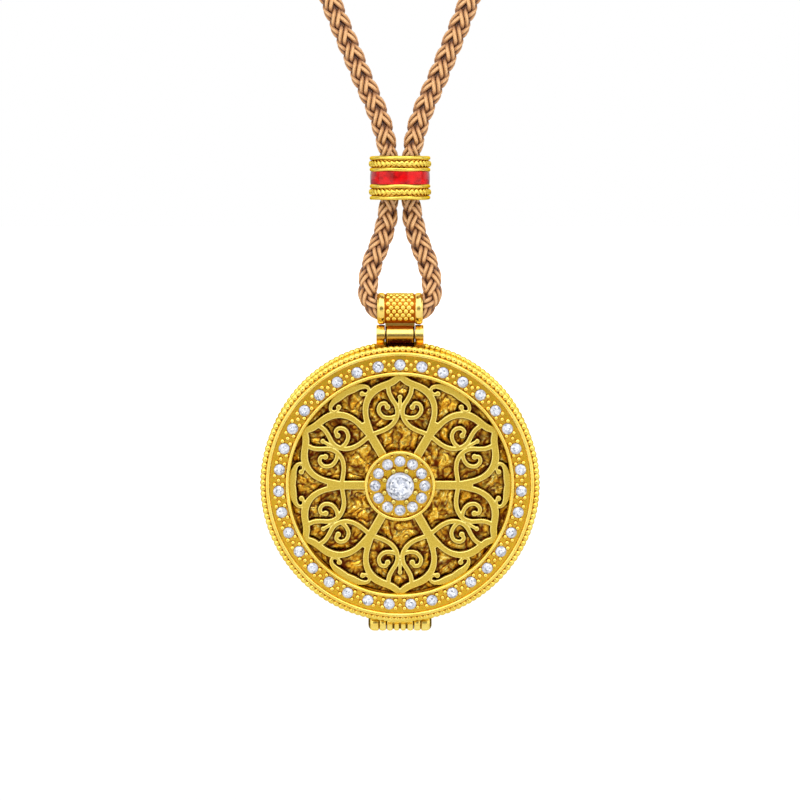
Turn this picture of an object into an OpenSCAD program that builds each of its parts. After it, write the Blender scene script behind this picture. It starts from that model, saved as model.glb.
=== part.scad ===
// Hinged amulet locket on a braided cord: a round case with a pierced lotus lid,
// a stone set rim, a barrel bail and a ringed slide bead.
// The part hangs upright. Z is up, the lid faces -Y, X runs along the hinge pins.
// The origin is the point under the cord's knot where the cord is hung.

/* [Locket] */
// Width of the locket across its front beaded edge
locket_d = 36; // [35.4:0.2:38]
// How far the rear beaded edge stands out beyond the front one
rear_edge_step = 0.1; // [0:0.05:0.3]
// How far the plain side wall lies in from the front beaded edge
wall_inset = 1.1; // [0.8:0.05:1.6]
// Thickness of the side wall
wall_t = 0.9; // [0.7:0.05:1.1]
// Distance from the hinge plane forward to the crowns of the lid's rings
front_depth = 3.75; // [3.6:0.05:4.2]
// Distance from the hinge plane back to the back of the case
back_depth = 3.7; // [3.4:0.05:4.2]
// Distance from the hinge plane forward to the joint between lid and case
parting_depth = 1.3; // [1.2:0.02:1.4]
// Thickness of the back plate of the case
back_t = 0.6; // [0.4:0.05:0.7]
// Running clearance between the lid and the lip of the case
lip_clearance = 0.08; // [0.05:0.01:0.1]

/* [Rim] */
// Number of beads around each beaded edge
edge_bead_count = 148; // [120:2:160]
// Width of a beaded edge along the depth
edge_bead_w = 0.75; // [0.6:0.05:0.8]
// Height of the beads above the valleys between them
edge_bead_h = 0.16; // [0.12:0.01:0.3]
// Radial depth of a beaded edge, from its seat to the crowns of its beads
edge_bead_depth = 0.7; // [0.6:0.05:0.75]
// Width of the plain ring inside the front beaded edge
outer_ring_w = 0.6; // [0.5:0.05:0.7]
// Width of the plain ring around the pierced plate
inner_ring_w = 0.55; // [0.4:0.05:0.6]
// Width of the stone channel between the plain rings
channel_w = 1.95; // [1.85:0.05:2.3]
// Depth of the stone channel below the crowns of the rings
channel_depth = 0.39; // [0.3:0.01:0.45]
// Number of stones around the rim
rim_stone_count = 35; // [30:1:35]
// Distance from the outer plain ring in to the middles of the rim stones
stone_ring_inset = 1.1; // [0.95:0.05:1.15]
// Diameter of a small stone
stone_d = 1.4; // [1.2:0.05:1.4]
// Diameter of a grain between the stones
grain_d = 0.5; // [0.3:0.05:0.5]

/* [Pierced plate] */
// Thickness of the pierced plate
plate_t = 0.55; // [0.45:0.05:0.6]
// How far the pierced plate lies below the crowns of the rings
plate_drop = 0.55; // [0.5:0.01:0.6]
// Width of a spoke between two petals
spoke_w = 1.15; // [0.9:0.05:1.3]
// Width of the scroll bands inside a petal
scroll_w = 0.62; // [0.5:0.02:0.7]

/* [Centre] */
// Outside diameter of the raised centre setting
collet_d = 9.14; // [8.8:0.02:9.3]
// Wall of the raised centre setting
collet_wall = 0.43; // [0.35:0.01:0.45]
// Height of the centre setting above the pierced plate
collet_h = 0.75; // [0.7:0.05:0.9]
// Number of stones around the centre stone
halo_count = 12; // [10:1:12]
// Diameter of the centre stone
centre_stone_d = 3.6; // [3.2:0.05:3.6]
// Number of prongs that hold the centre stone
prong_count = 8; // [4:4:8]

/* [Hinges] */
// Radius of the knuckles of the bail hinge
ear_r = 1.28; // [1.1:0.02:1.3]
// Width of each ear of the bail hinge
ear_w = 1.1; // [0.8:0.05:1.2]
// Length of the middle knuckle of the bail hinge
bail_knuckle_l = 3.5; // [3:0.1:3.8]
// Gap at each side of a middle knuckle
knuckle_gap = 0.2; // [0.1:0.01:0.25]
// Radius of the bail hinge pin
bail_pin_r = 0.5; // [0.4:0.02:0.55]
// Radius of the ribbed knuckles of the lid hinge
rib_r = 1.1; // [1:0.02:1.14]
// Width of one rib of the lid hinge
rib_w = 0.86; // [0.8:0.01:0.9]
// Radius of the lid hinge pin
lid_pin_r = 0.4; // [0.3:0.02:0.45]
// Running clearance around a hinge pin
pin_clearance = 0.05; // [0.03:0.01:0.08]

/* [Bail] */
// Outside radius of the barrel that the cord runs through
barrel_r = 2.05; // [1.95:0.01:2.1]
// Bore radius of the barrel
barrel_bore_r = 1.65; // [1.6:0.01:1.7]
// Length of the barrel
barrel_l = 5.84; // [5.7:0.02:6.2]
// Width of the plain rim at each end of the barrel
barrel_rim_w = 0.95; // [0.8:0.01:1.05]
// Rows of studs around the barrel
stud_rows = 22; // [16:2:24]
// Studs in a full row
stud_columns = 5; // [3:1:5]
// Distance from the bail pin up to the axis of the barrel
bail_reach = 3.42; // [3.4:0.01:3.6]

/* [Slide bead] */
// Length of the slide bead along the cord
bead_l = 5.5; // [5:0.1:6]
// Outside radius of the bead over its beaded rows
bead_r = 4.02; // [3.95:0.01:4.2]
// Length of the enamel band
enamel_l = 1.6; // [1.2:0.1:1.8]
// Number of beads in each beaded row
bead_row_count = 36; // [30:1:44]

/* [Cord] */
// Diameter of the braided cord
cord_d = 2.7; // [2.6:0.02:2.75]
// Distance from the middle of the bead down to the axis of the barrel
loop_drop = 16.7; // [16:0.1:18]
// Length of the knot that joins the two ends of the cord
knot_l = 6.4; // [6:0.1:7]
// Radius of the knot
knot_r = 2.6; // [2.4:0.1:2.8]

/* [Hidden] */

// Fineness of the true curves
$fn = 64;
// Straight steps in a rounded crown
crown_steps = 6;
// Length by which a cutting tool runs past what it cuts
overrun = 1;

// Radius of the side wall
wall_r = locket_d / 2 - wall_inset;
// Radius of the bore of the case
case_bore_r = wall_r - wall_t;
// Radius at which the front beaded edge begins, outside the outer plain ring
edge_seat_r = locket_d / 2 - edge_bead_depth;
// Outside radius of the rear beaded edge, and the radius at which it begins
rear_edge_r = locket_d / 2 + rear_edge_step;
rear_seat_r = rear_edge_r - edge_bead_depth;
// Inside radius of the plain ring around the pierced plate
opening_r = edge_seat_r - outer_ring_w - channel_w - inner_ring_w;
// Radius of the circle through the middles of the rim stones
rim_stone_ring_r = edge_seat_r - outer_ring_w - stone_ring_inset;
// Depth of the lower face of the front beaded edge below the crowns of the rings
edge_drop = 1.05;
// Depth of the slope between a beaded edge and the side wall
edge_slope = 0.3;
// Width by which the seat of the plates reaches behind the stone channel
plate_land_w = 0.065;
// Width of the raised ring round the back
back_ring_w = 2.1;
// Width of the flat and of the slope inside that ring
back_land_w = 0.6;
back_slope_w = 0.4;
// Faces of the back's flat and of its middle panel, as shares of the back's thickness
back_land_share = 0.45;
back_panel_share = 0.7;

// Levels along the face axis, from the hinge plane towards the front
crown_level = front_depth;
channel_level = front_depth - channel_depth;
plate_level = front_depth - plate_drop;
plate_back_level = plate_level - plate_t;
back_seat_level = back_t - back_depth;
// Depth of the space between the pierced plate and the ground behind it
ground_gap = 0.35;
// Thickness of the ground foil and of the lining behind it
ground_t = 0.25;
lining_t = 0.3;
ground_level = plate_back_level - ground_gap;
ground_back_level = ground_level - ground_t;
lining_back_level = ground_back_level - lining_t;
// Gap left between the lip of the case and the lining of the lid
lip_end_gap = 0.05;
lip_level = lining_back_level - lip_end_gap;
// Gap between the rims of lid and case when the lid is shut
parting_gap = 0.04;
// Radial width of the lip inside the case
lip_t = 0.55;
// Depth of the lip inside the case below the joint
lip_root = 1.6;
// Width of the catch bump, and how far it stands out of the lip
bump_w = 0.8;
bump_proud = 0.05;
// Height of the catch bump as a share of the height of the lip above the joint, and its foot's level
bump_height_share = 0.9;
bump_level = lip_level - bump_height_share * (lip_level - parting_depth);
// Seat radius for the plates that lie in the lid
seat_r = opening_r + inner_ring_w + plate_land_w;
// Small clearance between plates and the seat they drop into
plate_clearance = 0.02;

// Points along one bead of a beaded ring
bead_lobe_points = 4;
// Heights at those points, from valley to valley, as shares of the bead's height
lobe_shares = [0, 0.8, 1, 0.8];

// Girdle, crown, pavilion and table of a stone, as shares of its diameter
girdle_share = 0.06;
crown_share = 0.16;
pavilion_share = 0.36;
table_share = 0.56;
// Height of a small stone's girdle above the floor it is set in
girdle_lift = 0.1;
// Bore and depth of the seat under a stone, as shares of its diameter
seat_bore_share = 0.42;
seat_depth_share = 0.34;

// Distance of the paired grains in and out from the ring of stones, and their angle along it
grain_row_offset = 0.52;
grain_pair_angle = 2.1;
// Distance by which the middle grain sits outside the ring of stones
grain_mid_shift = 0.05;

// Number of petals that the outlines are drawn for
petal_count = 6;
// Petal outlines as shares of the opening radius: across, and out from the centre
petal_edge_shares = [[0, 1.03], [0.0915, 0.967], [0.19, 0.927], [0.26, 0.885], [0.31, 0.813],
    [0.3345, 0.7415], [0.338, 0.669], [0.329, 0.6], [0.311, 0.539]];
petal_hole_shares = [[0, 0.955], [0.05, 0.914], [0.11, 0.888], [0.175, 0.859], [0.228, 0.818],
    [0.265, 0.766], [0.283, 0.7], [0.281, 0.636], [0.264, 0.572], [0.238, 0.493]];
// Scroll ornament inside a petal, right half, in the same shares
lyre_shares = [[0.106, 0.905], [0.099, 0.845], [0.07, 0.785], [0.034, 0.727], [0.022, 0.668],
    [0.036, 0.605], [0.078, 0.549], [0.141, 0.507], [0.232, 0.472]];
volute_shares = [[0.03, 0.634], [0.09, 0.616], [0.153, 0.628], [0.192, 0.68], [0.178, 0.735],
    [0.135, 0.748], [0.112, 0.714]];
// Radius of the bud that ends a volute
volute_bud_share = 0.027;
bud_stem_shares = [[0, 0.7], [0, 0.75], [0, 0.805]];
// Widths of the volutes, the stem and its bud as shares of the scroll width
volute_width_share = 0.9;
stem_width_share = 0.75;
stem_bud_share = 1.05;
// Leaf spray between two petals, right half, and its widths as shares of the scroll width
leaf_shares = [[0.02, 0.985], [0.075, 0.972], [0.13, 0.96], [0.177, 0.938], [0.197, 0.907],
    [0.181, 0.878], [0.147, 0.874], [0.122, 0.893]];
leaf_width_shares = [2, 1.7, 1.25, 0.9, 0.75, 0.7, 0.7, 0.8];
// Radius of the bud that ends a leaf
leaf_bud_share = 0.025;
// Steps between two shape points
shape_steps = 2;
// Radius at which a spoke ends, as a share of the opening radius
spoke_share = 0.665;
// Distance of a petal's side from the middle of the spoke that covers it
spoke_lap = 0.1;
// Radius of the hub of the pierced plate, under the wall of the centre setting
hub_r = collet_d / 2;
// Laps of the petals and of their openings over the hub
hub_overlap = 0.25;
petal_foot_overlap = 0.3;
// Width of solid plate left under a spoke where two petals meet at the hub
spoke_foot_w = 0.9;
// Width of the hub that rests on the step of the centre setting
hub_step_w = 0.65;
spigot_r = hub_r - hub_step_w;
// Width of the rim of the pierced plate, held behind the plain ring
plate_rim_w = 0.5;

// Height of the floor of the centre setting above the pierced plate
collet_floor_lift = 0.2;
collet_floor_level = plate_level + collet_floor_lift;
collet_top_level = plate_level + collet_h;
// Radius of the bore under the centre stone
centre_bore_r = 1.35;
// Radius of the circle through the middles of the stones around the centre stone
halo_ring_r = 3.19;
// Height of the centre stone's girdle above the floor
centre_stone_lift = 0.42;
// Distance of the prongs from the girdle of the centre stone, and their size
prong_offset = 0.35;
prong_ring_r = centre_stone_d / 2 + prong_offset;
prong_r = 0.32;
prong_h = 0.62;
// Grains outside and inside the ring of stones around the centre stone
outer_grain_ring_r = 3.86;
outer_grain_d = 0.4;
inner_grain_ring_r = 2.62;
inner_grain_d = 0.24;

// Places of the bail's ears along the pin
ear_inner_x = bail_knuckle_l / 2 + knuckle_gap;
ear_outer_x = ear_inner_x + ear_w;
// Height of the bail pin above the side wall
bail_pin_rise = 2.2;
pin_height = wall_r + bail_pin_rise;
// Drop of the lid hinge's axis below the side wall
lid_axis_gap = 1.95;
lid_axis_drop = wall_r + lid_axis_gap;
// Gap between the ribs of the lid and those of the case
rib_gap = 0.12;
rib_groove_depth = 0.22;
// Length, shoulder and rounding of the lobe at each end of the lid hinge
lobe_l = 1.46;
lobe_shoulder_w = 0.18;
lobe_round_r = 0.77;
// Length of pin inside a lobe
lobe_pin_l = 1.1;
// Number of ribs on the lid's knuckle
lid_rib_count = 4;
lid_knuckle_half = lid_rib_count * rib_w / 2;
case_rib_start = lid_knuckle_half + rib_gap;
lid_pin_half = case_rib_start + rib_w + lobe_pin_l;
// Web that carries a case knuckle: its length and its faces before and behind the hinge plane
case_web_l = 2;
case_web_front = 0.38;
case_web_back = 1;
// Foot that carries the lid's knuckle: its clearance under the wall of the case
web_top_gap = 0.3;
// Distances of the foot's back and front faces from the joint between lid and case
web_back_gap = 0.12;
web_reach = 1;
web_back_level = parting_depth + web_back_gap;
web_front_level = parting_depth + web_reach;
// How far the foot laps up over the skirt of the lid
web_lap = 0.5;
// Height of the foot's front face above the hinge axis
web_toe = 0.6;
// Level and drop of the foot's lowest corner
web_heel_level = 0.88;
web_heel_drop = 0.12;

// Height of the studs above the sleeve of the barrel
stud_proud = 0.17;
sleeve_r = barrel_r - stud_proud;
stud_d = 0.62;
// Distance between studs along the barrel
stud_pitch = 0.76;
// Half angle around the barrel that the neck keeps free of studs
neck_clear_angle = 34;
// Thickness of the neck between the barrel and the middle knuckle
neck_t = 1.6;
// Full round at the mouth of the barrel, and the small round on its rim's inner edge
rim_mouth_r = (barrel_r - barrel_bore_r) / 2;
rim_edge_r = 0.11;

// Thickness of the gold bands over the sleeve of the slide bead, and of the sleeve
band_t = 0.42;
bead_sleeve_t = 0.45;
bead_sleeve_r = bead_r - band_t;
liner_r = bead_sleeve_r - bead_sleeve_t;
// Depth of the liner inside each mouth of the bead
liner_end_gap = 0.15;
band_l = (bead_l - enamel_l) / 2;
// Plain rims of a band: length, rounding, and how far they lie below the beaded row
band_rim_l = 0.5;
band_rim_round = 0.2;
band_rim_drop = 0.12;
// How far the enamel lies below the beaded rows
enamel_drop = 0.2;
enamel_r = bead_r - enamel_drop;
// Height of the beads in a row above the valleys between them
bead_row_h = 0.2;
// Clearance of the hole in the liner around the strands
cord_hole_clearance = 0.12;
// Distance of each strand from the middle of the bead
strand_x = 1.47;

// Cord: sides of the tube
cord_sides = 8;
cord_r = cord_d / 2;
// Radius of the arch above the bead, and its centre above the middle of the bead
arch_r = 11.4;
arch_lift = 31;
// Angles of the points along the arch
arch_angles = [8, 20, 32, 44, 56];
// Depth of the knot's axis below the top of the arch
knot_sink = 0.2;
// Rounding of the knot's ends
knot_round_r = 0.9;
// Route of a strand above the bead: across, and up from the middle of the bead, right half
strand_route = [[1.47, 0], [1.47, 2.2], [1.6, 3.6], [1.85, 4.9], [2.5, 7.3], [3.5, 9.8],
    [4.65, 12.3], [5.7, 14.8], [6.75, 17.3], [7.8, 19.8], [8.8, 22.3], [9.8, 25], [10.7, 27.6],
    [11.2, 29.6]];
// Last points before the knot, out from its end and up from its axis, as shares of the cord
knot_entry_shares = [[0.55, -0.15], [0.2, 0], [0, 0]];
// Loop below the bead: across, and down as a share of the drop to the bend
loop_route = [[1.47, 0], [1.47, 0.16], [1.5, 0.24], [1.72, 0.36], [2.15, 0.46], [2.6, 0.56],
    [3.1, 0.65], [3.5, 0.74], [3.85, 0.83], [4.15, 0.92]];

// Heights of the main points, with the hanging point under the knot at zero
knot_z = knot_r;
bead_z = knot_z + knot_sink - arch_r - arch_lift;
barrel_z = bead_z - loop_drop;
bail_pin_z = barrel_z - bail_reach;
centre_z = bail_pin_z - pin_height;
lid_axis_z = centre_z - lid_axis_drop;

// Inner radius of the cord's bend round the mouth of the barrel
bend_inner_r = 0.27;
bend_r = cord_r + bend_inner_r;
bend_x = barrel_l / 2 - rim_mouth_r;
bend_z = barrel_z + (barrel_bore_r + barrel_r) / 2;
// Angles of the points along the bend
bend_angles = [0, 22.5, 45, 67.5, 90];

// Shape helpers

// Points along an arc
function arc(c, r, a, b, n) = [for (i = [0:n]) let (t = a + (b - a) * i / n) c + r * [cos(t), sin(t)]];

// Points along a flattened crown from one foot to the other
function crown(x0, x1, foot, top, n) = [for (i = [0:n])
    [(x0 + x1) / 2 + (x0 - x1) / 2 * cos(180 * i / n), foot + (top - foot) * sin(180 * i / n)]];

// Smooth curve through points
function blend4(a, b, c, d, t) = 0.5 * (2 * b + (c - a) * t + (2 * a - 5 * b + 4 * c - d) * t * t
    + (3 * b - a - 3 * c + d) * t * t * t);
function smooth(p, n) = concat([for (i = [0:len(p) - 2]) for (k = [0:n - 1])
    blend4(p[max(i - 1, 0)], p[i], p[i + 1], p[min(i + 2, len(p) - 1)], k / n)], [p[len(p) - 1]]);

function mirrored(p) = [for (i = [0:len(p) - 1]) [-p[len(p) - 1 - i][0], p[len(p) - 1 - i][1]]];
function unit2(v) = v / norm(v);
function heading(p, i) = unit2(p[min(i + 1, len(p) - 1)] - p[max(i - 1, 0)]);
function side_points(p, w, s) = [for (i = [0:len(p) - 1])
    p[i] + s * w[i] / 2 * [-heading(p, i)[1], heading(p, i)[0]]];
function reversed(p) = [for (i = [0:len(p) - 1]) p[len(p) - 1 - i]];
function width_at(ws, i, n) = let (u = i / n * (len(ws) - 1), k = min(floor(u), len(ws) - 2))
    ws[k] + (ws[k + 1] - ws[k]) * (u - k);

// Flat band that follows a curve
module band(p, w) {
    polygon(concat(side_points(p, w, 1), reversed(side_points(p, w, -1))));
    translate(p[0]) circle(d = w[0], $fn = 16);
    translate(p[len(p) - 1]) circle(d = w[len(w) - 1], $fn = 16);
}

// Put a piece drawn on the face into the hanging part
module on_face() {
    translate([0, 0, centre_z]) rotate([90, 0, 0]) children();
}

// Tool that trims a hinge piece to the side wall
module wall_cut() {
    on_face() cylinder(r = wall_r, h = front_depth + back_depth, center = true, $fn = 128);
}

// Solid of revolution about a line along X, from points along and out from it
module turned_x(points, z) {
    translate([0, 0, z]) rotate([0, 90, 0]) rotate_extrude() mirror([1, -1]) polygon(points);
}

// Mirror to the left side when the side is -1
module on_side(side) {
    multmatrix([[side, 0, 0, 0], [0, 1, 0, 0], [0, 0, 1, 0]]) children();
}

// Repeat around the face axis
module around(n, start) {
    for (i = [0:n - 1]) rotate([0, 0, start + 360 * i / n]) children();
}

// Round bar along X
module bar_x(r, x0, x1, z) {
    translate([x0, 0, z]) rotate([0, 90, 0]) cylinder(r = r, h = x1 - x0);
}

// Outline of a beaded ring
function beaded(n, valley, h) = [for (i = [0:n - 1]) for (k = [0:bead_lobe_points - 1])
    let (a = 360 * (i + k / bead_lobe_points) / n) (valley + h * lobe_shares[k]) * [cos(a), sin(a)]];

module beaded_ring(n, inner, outer, h, w) {
    linear_extrude(w) difference() {
        polygon(beaded(n, outer - h, h));
        circle(r = inner, $fn = 360);
    }
}

// Stone with its culet down, girdle bottom at the given level
module stone(d) {
    rotate_extrude($fn = 64) polygon([[0, -pavilion_share * d], [d / 2, 0], [d / 2, girdle_share * d],
        [table_share * d / 2, (girdle_share + crown_share) * d], [0, (girdle_share + crown_share) * d]]);
}

// Flat bottomed round grain
module grain(d) {
    rotate_extrude($fn = 24) intersection() {
        circle(d = d);
        square([d, d]);
    }
}

// Tube swept along a route in the plane of the cord, at both ends square to the route
function ring_at(p, i) = let (t = heading(p, i)) [for (k = [0:cord_sides - 1])
    let (a = 360 * (k + 0.5) / cord_sides)
    [p[i][0] - t[1] * cord_r * cos(a), cord_r * sin(a), p[i][1] + t[0] * cord_r * cos(a)]];
module cord_tube(p) {
    n = len(p);
    polyhedron(points = [for (i = [0:n - 1]) each ring_at(p, i)],
        faces = concat([[for (k = [0:cord_sides - 1]) cord_sides - 1 - k]],
            [for (i = [0:n - 2]) for (k = [0:cord_sides - 1]) [i * cord_sides + k,
                i * cord_sides + (k + 1) % cord_sides, (i + 1) * cord_sides + (k + 1) % cord_sides,
                (i + 1) * cord_sides + k]],
            [[for (k = [0:cord_sides - 1]) (n - 1) * cord_sides + k]]));
}

// Case

module rear_case() {
    color("gold") on_face() rotate_extrude($fn = 128) polygon([
        [case_bore_r, parting_depth - parting_gap],
        [case_bore_r, back_seat_level],
        [rear_seat_r, back_seat_level],
        [rear_seat_r, back_seat_level + edge_bead_w],
        [wall_r, back_seat_level + edge_bead_w + edge_slope],
        [wall_r, parting_depth - parting_gap]]);
}

module rear_beading() {
    color("gold") on_face() translate([0, 0, back_seat_level])
        beaded_ring(edge_bead_count, rear_seat_r, rear_edge_r, edge_bead_h, edge_bead_w);
}

module back_plate() {
    ring_in = rear_seat_r - back_ring_w;
    land_in = ring_in - back_land_w;
    land_level = back_seat_level - back_land_share * back_t;
    panel_level = back_seat_level - back_panel_share * back_t;
    color("gold") on_face() rotate_extrude($fn = 128) polygon(concat(
        [[0, back_seat_level], [0, panel_level], [land_in - back_slope_w, panel_level]],
        [[land_in, land_level]],
        crown(ring_in, rear_seat_r, land_level, -back_depth, crown_steps),
        [[rear_seat_r, back_seat_level]]));
}

module case_lip() {
    height = lip_level - parting_depth + lip_root;
    notch_w = bump_w + 2 * plate_clearance;
    color("gold") on_face() difference() {
        translate([0, 0, parting_depth - lip_root]) cylinder(r = case_bore_r, h = height, $fn = 128);
        translate([0, 0, parting_depth - lip_root - overrun])
            cylinder(r = case_bore_r - lip_t, h = height + 2 * overrun, $fn = 128);
        translate([-notch_w / 2, case_bore_r - lip_t - overrun, bump_level])
            cube([notch_w, lip_t + 2 * overrun, overrun]);
    }
}

module catch_bump() {
    color("gold") on_face() translate([-bump_w / 2, case_bore_r - lip_t, bump_level])
        cube([bump_w, lip_t + bump_proud, lip_level - bump_level]);
}

module bail_ear(side) {
    low = side < 0 ? -ear_outer_x : ear_inner_x;
    difference() {
        union() {
            bar_x(ear_r, low, low + ear_w, bail_pin_z);
            translate([low, -ear_r, bail_pin_z - bail_pin_rise - overrun])
                cube([ear_w, 2 * ear_r, bail_pin_rise + overrun]);
        }
        wall_cut();
        bar_x(bail_pin_r, low - overrun, low + ear_w + overrun, bail_pin_z);
    }
}

module bail_ear_left() {
    color("gold") bail_ear(-1);
}

module bail_ear_right() {
    color("gold") bail_ear(1);
}

// Outlines of the lid hinge along its axis: a run of ribs, and the lobe at its end
function rib_outline(x0, n) = [for (i = [0:n - 1]) each crown(x0 + i * rib_w, x0 + (i + 1) * rib_w,
    rib_r - rib_groove_depth, rib_r, crown_steps)];
function lobe_outline(x0) = concat([[x0, rib_r - rib_groove_depth], [x0 + lobe_shoulder_w, rib_r]],
    arc([x0 + lobe_l - lobe_round_r, rib_r - lobe_round_r], lobe_round_r, 90, 0, crown_steps),
    [[x0 + lobe_l, 0]]);

module case_knuckle(side) {
    on_side(side) difference() {
        union() {
            turned_x(concat([[case_rib_start, 0]], rib_outline(case_rib_start, 1),
                lobe_outline(case_rib_start + rib_w)), lid_axis_z);
            translate([case_rib_start, -case_web_front, lid_axis_z])
                cube([case_web_l, case_web_front + case_web_back, lid_axis_gap + overrun]);
        }
        wall_cut();
        bar_x(lid_pin_r, case_rib_start - overrun, lid_pin_half, lid_axis_z);
    }
}

module case_knuckle_left() {
    color("gold") case_knuckle(-1);
}

module case_knuckle_right() {
    color("gold") case_knuckle(1);
}

module lid_hinge_pin() {
    color("silver") bar_x(lid_pin_r, -lid_pin_half, lid_pin_half, lid_axis_z);
}

module bail_hinge_pin() {
    color("silver") bar_x(bail_pin_r, -ear_outer_x, ear_outer_x, bail_pin_z);
}

// Lid

module lid_bezel() {
    skirt_r = case_bore_r + lip_clearance;
    edge_low_level = crown_level - edge_drop;
    color("gold") on_face() difference() {
        rotate_extrude($fn = 128) polygon(concat(
            [[skirt_r, parting_depth], [wall_r, parting_depth], [wall_r, edge_low_level - edge_slope],
             [edge_seat_r, edge_low_level], [edge_seat_r, channel_level]],
            crown(edge_seat_r, edge_seat_r - outer_ring_w, channel_level, crown_level, crown_steps),
            crown(opening_r + inner_ring_w, opening_r, channel_level, crown_level, crown_steps),
            [[opening_r, plate_level], [seat_r, plate_level], [seat_r, ground_back_level],
             [skirt_r, ground_back_level]]));
        around(rim_stone_count, 90)
            translate([rim_stone_ring_r, 0, channel_level - seat_depth_share * stone_d])
            cylinder(r = seat_bore_share * stone_d, h = overrun, $fn = 24);
    }
}

module front_beading() {
    color("gold") on_face() translate([0, 0, crown_level - edge_drop])
        beaded_ring(edge_bead_count, edge_seat_r, locket_d / 2, edge_bead_h, edge_bead_w);
}

module rim_stones() {
    color("white") on_face() around(rim_stone_count, 90)
        translate([rim_stone_ring_r, 0, channel_level + girdle_lift]) stone(stone_d);
}

module rim_grains() {
    pitch = 360 / rim_stone_count;
    color("gold") on_face() around(rim_stone_count, 90 + pitch / 2) {
        translate([rim_stone_ring_r + grain_mid_shift, 0, channel_level]) grain(grain_d);
        for (in_out = [-1, 1], left_right = [-1, 1])
            rotate([0, 0, left_right * grain_pair_angle])
            translate([rim_stone_ring_r + in_out * grain_row_offset, 0, channel_level])
            grain(grain_d);
    }
}

// Half shapes of a petal, drawn with the petal pointing up
module petal_solid() {
    edge = smooth(opening_r * petal_edge_shares, shape_steps);
    polygon(concat(edge, [[0, 0]], mirrored(edge)));
}

module petal_hole() {
    // The lower corners run along the spokes to the hub
    edge = smooth(opening_r * petal_hole_shares, shape_steps);
    half_angle = 180 / petal_count;
    foot = (hub_r - petal_foot_overlap) * [sin(half_angle), cos(half_angle)]
        + spoke_foot_w / 2 * [-cos(half_angle), sin(half_angle)];
    polygon(concat(edge, [foot, [-foot[0], foot[1]]], mirrored(edge)));
}

module petal_scroll() {
    lyre = smooth(opening_r * lyre_shares, shape_steps);
    volute = smooth(opening_r * volute_shares, shape_steps);
    stem = opening_r * bud_stem_shares;
    for (side = [0, 1]) mirror([side, 0]) {
        band(lyre, [for (i = lyre) scroll_w]);
        band(volute, [for (i = volute) volute_width_share * scroll_w]);
        translate(volute[len(volute) - 1]) circle(r = opening_r * volute_bud_share, $fn = 20);
    }
    band(stem, [for (i = stem) stem_width_share * scroll_w]);
    translate(stem[len(stem) - 1]) circle(d = stem_bud_share * scroll_w, $fn = 20);
}

module leaf_spray() {
    leaf = smooth(opening_r * leaf_shares, shape_steps);
    n = len(leaf) - 1;
    for (side = [0, 1]) mirror([side, 0]) {
        band(leaf, [for (i = [0:n]) scroll_w * width_at(leaf_width_shares, i, n)]);
        translate(leaf[n]) circle(r = opening_r * leaf_bud_share, $fn = 20);
    }
}

// One petal of the plate, between the spokes at its sides
module petal_plate(outer) {
    half_angle = 180 / petal_count;
    along = [sin(half_angle), cos(half_angle)];
    foot_y = spoke_lap / sin(half_angle);
    wedge_side = 2 * opening_r * along;
    linear_extrude(plate_t) offset(delta = 0) intersection() {
        translate([0, foot_y]) polygon([[0, 0], [-wedge_side[0], wedge_side[1]], wedge_side]);
        circle(r = outer, $fn = 120);
        difference() {
            union() {
                difference() {
                    petal_solid();
                    petal_hole();
                }
                petal_scroll();
            }
            circle(r = hub_r - hub_overlap, $fn = 72);
        }
    }
}

module spray_plate(outer) {
    linear_extrude(plate_t) offset(delta = 0) intersection() {
        leaf_spray();
        circle(r = outer, $fn = 120);
    }
}

module pierced_lotus() {
    rim_r = seat_r - plate_clearance;
    rim_inner = opening_r + inner_ring_w - plate_rim_w;
    spoke_start = hub_r - hub_overlap;
    color("gold") on_face() translate([0, 0, plate_back_level]) union() {
        rotate_extrude($fn = 180) translate([rim_inner, 0]) square([rim_r - rim_inner, plate_t]);
        rotate_extrude($fn = 180) translate([spigot_r + plate_clearance, 0])
            square([hub_r - spigot_r - plate_clearance, plate_t]);
        around(petal_count, 0) petal_plate((rim_inner + rim_r) / 2);
        around(petal_count, 180 / petal_count) {
            spray_plate((rim_inner + rim_r) / 2);
            translate([-spoke_w / 2, spoke_start, 0])
                cube([spoke_w, spoke_share * opening_r - spoke_start, plate_t]);
        }
    }
}

module centre_collet() {
    color("gold") on_face() difference() {
        rotate_extrude($fn = 96) polygon(concat(
            [[centre_bore_r, plate_back_level], [spigot_r, plate_back_level], [spigot_r, plate_level]],
            [[hub_r, plate_level]],
            crown(hub_r, hub_r - collet_wall, collet_top_level - collet_wall / 2, collet_top_level,
                crown_steps),
            [[hub_r - collet_wall, collet_floor_level], [centre_bore_r, collet_floor_level]]));
        around(halo_count, 90)
            translate([halo_ring_r, 0, collet_floor_level - seat_depth_share * stone_d])
            cylinder(r = seat_bore_share * stone_d, h = overrun, $fn = 24);
    }
}

module halo_stones() {
    color("white") on_face() around(halo_count, 90)
        translate([halo_ring_r, 0, collet_floor_level + girdle_lift]) stone(stone_d);
}

module centre_stone() {
    color("white") on_face() translate([0, 0, collet_floor_level + centre_stone_lift])
        stone(centre_stone_d);
}

module centre_prongs() {
    color("gold") on_face() around(prong_count, 180 / prong_count)
        translate([prong_ring_r, 0, collet_floor_level]) {
            cylinder(r = prong_r, h = prong_h, $fn = 24);
            translate([0, 0, prong_h]) grain(2 * prong_r);
        }
}

module centre_grains() {
    color("gold") on_face() around(halo_count, 90 + 180 / halo_count) {
        translate([outer_grain_ring_r, 0, collet_floor_level]) grain(outer_grain_d);
        translate([inner_grain_ring_r, 0, collet_floor_level]) grain(inner_grain_d);
    }
}

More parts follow.
